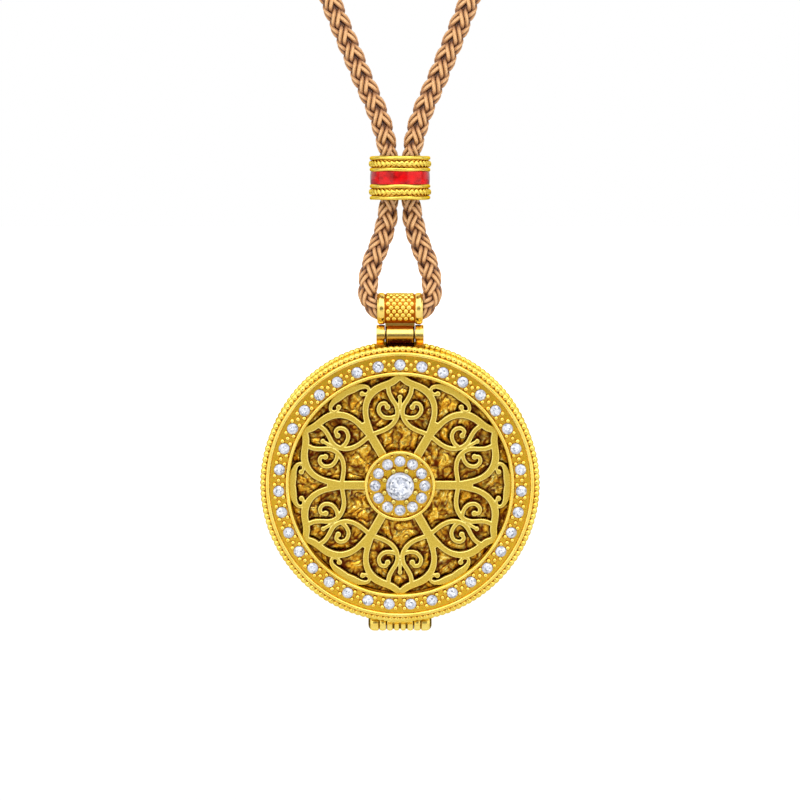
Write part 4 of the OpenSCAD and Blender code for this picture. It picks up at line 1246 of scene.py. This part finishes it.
def set_stones(name, node, places, diameter, level, cut):
    """Stones at (radius, angle) places, girdle at a level, each turned its own way."""
    points, faces, tones = cut
    mover = []
    for radius, angle in places:
        spin = rng.uniform(0, TURN)
        tilt = rng.uniform(-STONE_TILT, STONE_TILT, 2)

        def place(p, radius=radius, angle=angle, spin=spin, tilt=tilt):
            p = turned(p * diameter, spin)
            p = p + np.column_stack([0 * p[:, 0], 0 * p[:, 1], tilt[0] * p[:, 0] + tilt[1] * p[:, 1]])
            return p + [radius * math.cos(angle), radius * math.sin(angle), level]

        mover.append(place)
    all_points, all_faces = copies((points, faces), mover)
    obj = make(name, (on_face(all_points), all_faces), stones, "lid", (node,), sharp=1)
    low, high = np.array(tones * len(places)).T
    # Each facet gets a random painted tone from its range, standing for the light the stone returns
    store(obj, "facet", rng.uniform(low, high), "FACE")


RIM_STONES = 35
RIM_STONE_RING_R = 15.6
STONE_D = 1.4
HALO_STONES = 12
HALO_RING_R = 3.19
stone_top_share = GIRDLE_SHARE + CROWN_SHARE
rim_girdle = -stones_low[1] - stone_top_share * STONE_D
halo_girdle = -halo_low[1] - stone_top_share * STONE_D
CENTRE_STONE_D = centre_high[0] - centre_low[0]
centre_girdle = -centre_low[1] - stone_top_share * CENTRE_STONE_D


def around(count, start):
    """Angles of evenly spaced places, from the top of the face."""
    return [TURN / 4 + TURN * (k + start) / count for k in range(count)]


set_stones("rim_brilliants", "rim_stones", [(RIM_STONE_RING_R, a) for a in around(RIM_STONES, 0)],
           STONE_D, rim_girdle, cut_stone())
set_stones("halo_brilliants", "halo_stones", [(HALO_RING_R, a) for a in around(HALO_STONES, 0)],
           STONE_D, halo_girdle, cut_stone())
set_stones("centre_brilliant", "centre_stone", [(0, 0)], CENTRE_STONE_D, centre_girdle, fine_stone())


# Centre setting

COLLET_WALL = 0.43
COLLET_FLOOR_LIFT = 0.2
GRAIN_LIFT = 0.04
CENTRE_BORE_R = 1.35
SPIGOT_R = HUB_R - 0.65


def centre_collet():
    top = -collet_low[1]
    floor_level = PLATE_LEVEL + COLLET_FLOOR_LIFT
    outline = [(CENTRE_BORE_R, PLATE_BACK), (SPIGOT_R, PLATE_BACK), (SPIGOT_R, PLATE_LEVEL),
               (HUB_R, PLATE_LEVEL)]
    outline += crown(HUB_R, HUB_R - COLLET_WALL, top - COLLET_WALL / 2, top, CROWN_STEPS)
    outline += [(HUB_R - COLLET_WALL, floor_level), (CENTRE_BORE_R, floor_level)]
    points, faces = lathe(outline, SMALL_RING_STEPS)
    obj = make("collet_ring", (on_face(points), faces), ring_gold, "lid",
               ("centre_collet",), sharp=50)
    # The collet's floor is marked for painted shade
    store(obj, "painted_recess_shade", np.abs(points[:, 2] - floor_level) < TOUCH)


centre_collet()


PRONGS = 8
PRONG_RING_R = 2.15
PRONG_R = 0.35
INNER_GRAIN_RING_R = 2.62
OUTER_GRAIN_RING_R = 3.86
INNER_GRAIN_R = 0.14
OUTER_GRAIN_R = 0.22
BALL_STRETCH = (0.93, 1.07)


def ball_places(centres, radii):
    """Balls at points on the face, each a little uneven."""
    def mover(centre, radius):
        stretch = radius * rng.uniform(*BALL_STRETCH, 3)
        return lambda p: p * stretch + centre
    return [mover(np.asarray(c, float), r) for c, r in zip(centres, radii)]


def ring_places(radius, angles, level):
    return [(radius * math.cos(a), radius * math.sin(a), level) for a in angles]


def centre_prongs():
    top = -box_mm("centre_prongs")[0][1]
    floor_level = PLATE_LEVEL + COLLET_FLOOR_LIFT
    places = ring_places(PRONG_RING_R, around(PRONGS, 0.5), 0)
    outline = [(floor_level, PRONG_R - 0.05)]
    outline += [(top - PRONG_R + PRONG_R * math.sin(a), PRONG_R * math.cos(a))
                for a in np.linspace(0, math.pi / 2, 10)[:-1]]
    outline.append((top, AXIS_R))
    prong, prong_faces = lathe_solid(outline, 20)
    points, faces = copies((prong, prong_faces), [lambda p, c=c: p + c for c in places])
    make("dark_prongs", (on_face(points), faces), prong_gold, "lid", ("centre_prongs",),
         sharp=60)


def centre_grains():
    level = PLATE_LEVEL + COLLET_FLOOR_LIFT + GRAIN_LIFT
    places = (ring_places(OUTER_GRAIN_RING_R, around(HALO_STONES, 0.5), level)
              + ring_places(INNER_GRAIN_RING_R, around(HALO_STONES, 0.5), level))
    radii = [OUTER_GRAIN_R] * HALO_STONES + [INNER_GRAIN_R] * HALO_STONES
    points, faces = copies(unit_ball(7, 14), ball_places(places, radii))
    make("halo_grains", (on_face(points), faces), beaded_gold, "lid", ("centre_grains",))


centre_prongs()
centre_grains()


# Grains between the stones, and studs on the barrel

GRAIN_D = 0.64
GRAIN_ROW_OFFSET = 0.52
GRAIN_PAIR_ANGLE = math.radians(2.1)
GRAIN_MID_SHIFT = 0.05
GRAIN_SPREAD = 0.04
CHANNEL_LEVEL = CROWN_LEVEL - CHANNEL_DEPTH


def rim_grains():
    centres = []
    for angle in around(RIM_STONES, 0.5):
        spots = [(GRAIN_MID_SHIFT, 0)]
        spots += [(row * GRAIN_ROW_OFFSET, pair * GRAIN_PAIR_ANGLE) for row in (-1, 1) for pair in (-1, 1)]
        for shift, turn in spots:
            radius = RIM_STONE_RING_R + shift + rng.uniform(-GRAIN_SPREAD, GRAIN_SPREAD)
            centres.append((radius * math.cos(angle + turn), radius * math.sin(angle + turn),
                            CHANNEL_LEVEL + GRAIN_LIFT))
    points, faces = copies(unit_ball(7, 14), ball_places(centres, [GRAIN_D / 2] * len(centres)))
    make("channel_grains", (on_face(points), faces), beaded_gold, "lid", ("rim_grains",))


rim_grains()


STUD_ROWS = 22
STUD_COLUMNS = 5
STUD_PITCH = 0.76
STUD_SIZE = 0.38
STUD_PROUD = 0.02
STUD_ROOT_R = 1.72
NECK_CLEAR_ANGLE = 34


def bail_studs():
    centres = []
    r = RIM_R - STUD_SIZE + STUD_PROUD
    for row in range(STUD_ROWS):
        angle = 360 * row / STUD_ROWS
        a = math.radians(angle)
        count = STUD_COLUMNS - row % 2
        if abs(angle - 180) > NECK_CLEAR_ANGLE:
            centres += [(-r * math.sin(a), r * math.cos(a), (k - (count - 1) / 2) * STUD_PITCH)
                        for k in range(count)]
    points, faces = copies(unit_ball(8, 16), ball_places(centres, [STUD_SIZE] * len(centres)))
    # The studs end inside the barrel's wall, clear of the cord in its bore
    radius = np.hypot(points[:, 0], points[:, 1])
    points[:, :2] *= np.maximum(1, STUD_ROOT_R / radius)[:, None]
    make("barrel_studs", (about_x(points, barrel_z), faces), stud_gold, "bail",
         ("bail_studs",))


bail_studs()


# Barrel rims, and the knuckles of both hinges

BORE_R = 1.65
BARREL_HALF = rim_high[0]
BARREL_RIM_W = 0.95
RIM_CREST_SHARE = 0.55
RIM_FOOT_DROP = 0.2
RIM_FLANK_DROP = 0.14
EAR_R = ear_high[1]
BAIL_PIN_Z = ear_high[2] - EAR_R
EAR_EDGE = 0.07
EAR_WRAP = math.radians(62)
EAR_FREE = 0.01
KNUCKLE_R = EAR_R + 0.05
RIM_ROUND = 0.18
SLIT = 0.15
SLIT_SHOWN = 0.06
SLIT_DEPTH = 0.09
NECK_T = 0.7
NECK_OVERLAP = 0.35
NECK_FOOT_SHARE = 0.8
# Strength of painted shade on the neck and in the slits
NECK_PAINTED_SHADE = 0.2
SLIT_PAINTED_SHADE = 0.85
RIB_R = lid_axis_z - ribs_low[2]
RIB_W = 0.86
RIB_GROOVE = 0.1
RIB_GROOVE_DEPTH = 0.22
RIB_FLOOR_R = RIB_R - RIB_GROOVE_DEPTH
RIB_CUT = 0.04
# Strength of painted shade in the grooves of the ribs
GROOVE_PAINTED_SHADE = 0.9
CASE_RIB_START = lobe_low[0]
LOBE_SHOULDER = [(-0.04, 0.22), (0.06, 0.22), (0.1, 0.14), (0.18, 0.02), (0.26, 0)]
LOBE_ROUND = 0.77
LOBE_FOOT_T = 0.38
LOBE_FOOT_L = 2
RIB_END = 0.09
FOOT_INSET = 0.12
FOOT_ROOT = 0.3
FOOT_KNEE = [(-0.88, -0.12), (ribs_low[1], 0.6)]
WALL_SINK = 0.1


def rounded_drum(start, end, radius, edge, steps=5):
    """Outline of a drum along its axis, (level, radius), with rounded edges."""
    turns = np.linspace(0, math.pi / 2, steps + 1)
    rise = [(start, AXIS_R), (start, radius - 2 * edge)]
    rise += [(start + edge * (1 - math.cos(a)), radius - edge * (1 - math.sin(a))) for a in turns]
    return rise + [(start + end - level, r) for level, r in rise[::-1]]


def prism(outline, start, end):
    """Solid along X from a closed outline of (depth, height) points."""
    outline = np.asarray(outline, float)
    n = len(outline)
    points = np.concatenate([np.column_stack([np.full(n, x), outline]) for x in (start, end)])
    faces = [[k, (k + 1) % n, (k + 1) % n + n, k + n] for k in range(n)]
    return points, faces + [list(range(n))[::-1], list(range(n, 2 * n))]


def wall_height(x):
    """Height of the case's wall above the middle of the face."""
    return math.sqrt(WALL_R ** 2 - x ** 2) - WALL_SINK


def barrel_rim(side, name, node):
    """Rim of the barrel, rounded over from its crest to the mouth."""
    inner = BARREL_HALF - BARREL_RIM_W
    crest = inner + RIM_CREST_SHARE * BARREL_RIM_W
    mouth = (RIM_R - RIM_ROUND - BORE_R) / 2
    outline = [(BORE_R, inner), (RIM_R - RIM_FOOT_DROP, inner)]
    outline += [(RIM_R - RIM_FLANK_DROP * (1 - math.sin(a)), crest - (crest - inner) * math.cos(a))
                for a in np.linspace(0, math.pi / 2, 9)]
    outline += [(RIM_R - RIM_ROUND * (1 - math.cos(a)), crest + (BARREL_HALF - mouth - crest) * math.sin(a))
                for a in np.linspace(0, math.pi / 2, 13)[1:]]
    outline += [(BORE_R + mouth + mouth * math.cos(a), BARREL_HALF - mouth + mouth * math.sin(a))
                for a in np.linspace(0, math.pi, 9)]
    points, faces = lathe(outline, SMALL_RING_STEPS)
    make(name, on_side(side, about_x(points, barrel_z), faces), rim_gold, "bail", (node,),
         sharp=50)


def bail_ear(side, name, node):
    """Knuckle with rounded edges on a foot that stands on the wall of the case."""
    low, high = ear_low[0], ear_high[0] - EAR_FREE
    turns = np.linspace(0, math.pi / 2, 5)
    slices = [(low + EAR_EDGE * (1 - math.cos(a)), EAR_EDGE * (1 - math.sin(a))) for a in turns]
    slices += [(low + high - x, inset) for x, inset in slices[::-1]]
    arc = np.linspace(0, math.pi + EAR_WRAP, 53)
    grid = []
    for x, inset in slices:
        r = KNUCKLE_R - inset
        foot = centre_z + wall_height(x)
        line = [(x, r * math.cos(a), BAIL_PIN_Z + r * math.sin(a)) for a in arc]
        grid.append(line + [(x, line[-1][1], foot), (x, r, foot)])
    grid = np.array(grid)
    faces = [face[::-1] for face in closed_tube(grid)]
    make(name, on_side(side, grid.reshape(-1, 3), faces), knuckle_gold, "case", (node,),
         sharp=40)


def bail_neck():
    half = neck_high[0]
    # Thin collars fill most of the slits beside the knuckle
    slit_r = KNUCKLE_R - SLIT_DEPTH
    start = half - SLIT_SHOWN
    line = [(-half - SLIT, AXIS_R), (-half - SLIT, slit_r), (-start - TOUCH, slit_r)]
    line = line + rounded_drum(-start, start, KNUCKLE_R, EAR_EDGE)[1:-1] + [(-x, r) for x, r in line[::-1]]
    knuckle, knuckle_faces = lathe_solid(line, DRUM_STEPS)
    low, high = BAIL_PIN_Z + NECK_FOOT_SHARE * EAR_R, barrel_z - RIM_R + NECK_OVERLAP
    neck = prism([(-NECK_T / 2, low), (NECK_T / 2, low), (NECK_T / 2, high), (-NECK_T / 2, high)],
                 -half - SLIT, half + SLIT)
    shape = joined([(about_x(knuckle, BAIL_PIN_Z), knuckle_faces), neck])
    obj = make("neck_knuckle", shape, knuckle_gold, "bail", ("bail_neck",), sharp=40)
    slit = np.abs(shape[0][:, 0]) > start + TOUCH / 2
    on_neck = np.arange(len(slit)) >= len(knuckle)
    # Painted shade: dark in the slits beside the knuckle, a little on the neck
    store(obj, "painted_deep_shade", SLIT_PAINTED_SHADE * slit * ~on_neck + NECK_PAINTED_SHADE * on_neck)


def rib_line(start, count):
    """Outline of a run of ribs, (level, radius), with a narrow groove before each."""
    line = []
    for k in range(count):
        x = start + k * RIB_W
        line += [(x, RIB_FLOOR_R - RIB_CUT)] if k else []
        line += crown(x + RIB_GROOVE * (k > 0), x + RIB_W - RIB_GROOVE * (k < count - 1), RIB_FLOOR_R,
                      RIB_R, 12)
    return line


def paint_groove_shade(obj, drum, count):
    """Painted shade in the grooves of a drum of ribs, which is the first part of a piece with count points.
    """
    painted_deep_shade = np.zeros(count)
    painted_deep_shade[:len(drum)] = GROOVE_PAINTED_SHADE * (np.hypot(drum[:, 0], drum[:, 1]) < RIB_FLOOR_R + TOUCH)
    store(obj, "painted_deep_shade", painted_deep_shade)


def case_knuckle(side, name, node):
    """End rib and rounded lobe of the bottom hinge, on a foot that stands on the wall of the case."""
    lobe = CASE_RIB_START + RIB_W
    end = lobe_high[0]
    line = [(CASE_RIB_START, AXIS_R)] + rib_line(CASE_RIB_START, 1)
    line += [(lobe + along, RIB_R - drop) for along, drop in LOBE_SHOULDER]
    line += [(end - LOBE_ROUND + LOBE_ROUND * math.sin(a), RIB_R - LOBE_ROUND + LOBE_ROUND * math.cos(a))
             for a in np.linspace(0, math.pi / 2, 13)]
    line.append((end, AXIS_R))
    drum, drum_faces = lathe_solid(line, DRUM_STEPS)
    front, back = -LOBE_FOOT_T, lobe_high[1]
    top = centre_z - wall_height(end) + WALL_SINK
    foot = prism([(front, lid_axis_z), (back, lid_axis_z), (back, top), (front, top)], CASE_RIB_START,
                 CASE_RIB_START + LOBE_FOOT_L)
    points, faces = joined([(about_x(drum, lid_axis_z), drum_faces), foot])
    obj = make(name, on_side(side, points, faces), rib_gold, "case", (node,), sharp=40)
    paint_groove_shade(obj, drum, len(points))


def lid_knuckle():
    """Middle ribs of the bottom hinge, with their foot on the lid."""
    half = ribs_high[0]
    line = [(-half - RIB_END, AXIS_R), (-half - RIB_END, RIB_FLOOR_R)]
    line += rib_line(-half, 4) + [(-level, r) for level, r in line[::-1]]
    drum, drum_faces = lathe_solid(line, DRUM_STEPS)
    reach, back = ribs_low[1], -PARTING_LEVEL - FOOT_INSET
    top, root = centre_z - WALL_R + WALL_SINK, centre_z - WALL_R - FOOT_ROOT
    foot = [(0, lid_axis_z)] + [(depth, lid_axis_z + rise) for depth, rise in FOOT_KNEE]
    foot += [(reach, top), (back, top), (back, root), (0, root)]
    shape = joined([(about_x(drum, lid_axis_z), drum_faces),
                    prism(foot, FOOT_INSET - half, half - FOOT_INSET)])
    obj = make("lid_ribs", shape, rib_gold, "lid", ("lid_hinge_knuckle",), sharp=40)
    paint_groove_shade(obj, drum, len(shape[0]))


barrel_rim(-1, "rim_of_barrel_left", "bail_rim_left")
barrel_rim(1, "rim_of_barrel_right", "bail_rim_right")
bail_ear(-1, "ear_left", "bail_ear_left")
bail_ear(1, "ear_right", "bail_ear_right")
bail_neck()
case_knuckle(-1, "lobe_left", "case_knuckle_left")
case_knuckle(1, "lobe_right", "case_knuckle_right")
lid_knuckle()


# Slide bead

BAND_RIM_L = 0.5
BAND_RIM_DROP = 0.12
BAND_RIM_ROUND = 0.24
BAND_ROW_BEADS = 36
BAND_ROW_HALF_W = 0.4
BAND_ROW_GAP = 0.03
BAND_WAVES = 5
BAND_WAVE = 0.03
SLEEVE_DEPTH = 0.42


def bead_band(name, low, high, node):
    """Gold band with a rope row between two plain rounded rims, on the sleeve."""
    bead_r = (high[0] - low[0]) / 2
    sleeve_r = bead_r - SLEEVE_DEPTH
    rim_r = bead_r - BAND_RIM_DROP - BAND_RIM_ROUND
    rim_half = BAND_RIM_L / 2
    row_half = (high[2] - low[2]) / 2 - BAND_RIM_L - BAND_ROW_GAP
    shapes = [beaded_torus(bead_r - BAND_ROW_HALF_W, (low[2] + high[2]) / 2, BAND_ROW_HALF_W, row_half,
                           BAND_ROW_BEADS, skew=0.8, fullness=0.95, outer=0.48, steps=10, power=1.45)]
    for start in (low[2], high[2] - BAND_RIM_L):
        outline = [(sleeve_r, start)]
        outline += [(rim_r + BAND_RIM_ROUND * math.sin(a), start + rim_half - rim_half * math.cos(a))
                    for a in np.linspace(0, math.pi, 13)]
        outline.append((sleeve_r, start + BAND_RIM_L))
        points, faces = lathe(outline, BEAD_STEPS)
        # The rims waver a little, as they do on a bead made by hand
        turn = np.arctan2(points[:, 1], points[:, 0])
        shown = np.hypot(points[:, 0], points[:, 1]) > sleeve_r + 0.1
        points[:, 2] += BAND_WAVE * np.sin(BAND_WAVES * turn + start) * shown
        shapes.append((points, faces))
    make(name, joined(shapes), beaded_gold, "bead", (node,), sharp=60)


bead_band("upper_rope_band", upper_low, upper_high, "bead_band_upper")
bead_band("lower_rope_band", lower_low, lower_high, "bead_band_lower")


ENAMEL_T = 0.22
ENAMEL_BULGE = 0.06


def bead_enamel():
    outer = (enamel_high[0] - enamel_low[0]) / 2
    inner = outer - ENAMEL_T
    low, high = enamel_low[2], enamel_high[2]
    outline = [(inner, low)]
    outline += [(outer - ENAMEL_BULGE * math.cos(a) ** 2, low + (high - low) * (1 - math.cos(a)) / 2)
                for a in np.linspace(0, math.pi, 13)]
    outline.append((inner, high))
    make("enamel_ring", lathe(outline, BEAD_STEPS), enamel, "bead", ("bead_enamel",),
         sharp=50)


bead_enamel()


# Materials of the CAD pieces that stay

KEPT = {
    polished: ["bail_hinge_pin", "lid_hinge_pin"],
    inside_gold: ["case_lip", "catch_bump", "retaining_ring", "lid_lining", "bead_sleeve"],
    stud_ground_painted_shade: ["bail_barrel"],
    liner: ["bead_liner"],
}
for kept_material, names in KEPT.items():
    for kept_name in names:
        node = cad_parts[kept_name]
        node.data.materials.clear()
        node.data.materials.append(kept_material)


# Floor, light and background

FLOOR_Z = -0.16


def floor():
    mesh = bpy.data.meshes.new("floor")
    size = 4.0
    mesh.from_pydata([(-size, -size, FLOOR_Z), (size, -size, FLOOR_Z), (size, size, FLOOR_Z),
                      (-size, size, FLOOR_Z)], [], [(0, 1, 2, 3)])
    look = Look("pale_floor")
    look.set(Roughness=0.9, Specular_IOR_Level=0.1)
    look.colour(look.ramp(look.noise(60, 2), [(0.3, (0.86, 0.86, 0.86, 1)), (0.7, (0.89, 0.89, 0.89, 1))]))
    path = look.add("ShaderNodeLightPath")
    look.set(Emission_Color=(1, 1, 1, 1))
    away = look.add("ShaderNodeVectorMath", operation="LENGTH")
    look.link(look.place(), away, "Vector")
    seen = look.span(away.outputs["Value"], 0.2, 0.8, 0.2, 1.0)
    look.link(look.maths("MULTIPLY", path.outputs["Is Camera Ray"], seen), look.shader, "Emission Strength")
    mesh.materials.append(look.material)
    obj = bpy.data.objects.new("floor", mesh)
    bpy.context.scene.collection.objects.link(obj)


MIDDLE_Z = -0.06


def softbox(name, azimuth, elevation, distance, width, height, watts):
    """Area light that faces the middle of the object; azimuth turns from the viewer to the right."""
    data = bpy.data.lights.new(name, "AREA")
    data.shape = "RECTANGLE"
    data.size = width
    data.size_y = height
    data.energy = watts
    obj = bpy.data.objects.new(name, data)
    target = Vector((0, 0, MIDDLE_Z))
    a, e = math.radians(azimuth), math.radians(elevation)
    way = Vector((math.sin(a) * math.cos(e), -math.cos(a) * math.cos(e), math.sin(e)))
    obj.location = target + distance * way
    obj.rotation_euler = way.to_track_quat("Z", "Y").to_euler()
    obj.visible_camera = False
    bpy.context.scene.collection.objects.link(obj)


def background():
    """White behind the object and in its reflections, soft grey light for the rest."""
    world = bpy.data.worlds.new("studio")
    bpy.context.scene.world = world
    world.use_nodes = True
    sky = Nodes(world.node_tree)
    shader = sky.tree.nodes["Background"]
    path = sky.add("ShaderNodeLightPath").outputs
    way = sky.add("ShaderNodeSeparateXYZ")
    sky.link(sky.add("ShaderNodeTexCoord").outputs["Generated"], way, "Vector")
    height = sky.span(way.outputs["Z"], -1.0, 1.0, 0.0, 1.0)
    grey = sky.ramp(height, [(0.5, (0.06, 0.055, 0.05, 1)), (0.62, (0.4, 0.4, 0.4, 1))])
    # Mirrors and stones see the white backdrop too, but only behind the object
    behind = sky.span(way.outputs["Y"], 0.0, 0.4, 0.0, 1.0)
    mirror = sky.maths("MAXIMUM", path["Is Glossy Ray"], path["Is Transmission Ray"])
    white = sky.maths("MAXIMUM", path["Is Camera Ray"], sky.maths("MULTIPLY", mirror, behind))
    sky.link(sky.mix(white, grey, (1, 1, 1, 1)), shader, "Color")
    shader.inputs["Strength"].default_value = 1.0


floor()
softbox("left_softbox", -57, 10, 0.6, 0.74, 0.6, 1.5)
softbox("right_softbox", 60, 10, 0.6, 0.74, 0.6, 1.5)
softbox("top_softbox", 0, 56, 0.75, 1.15, 0.95, 6.2)
background()
bpy.context.scene.view_settings.view_transform = "Standard"
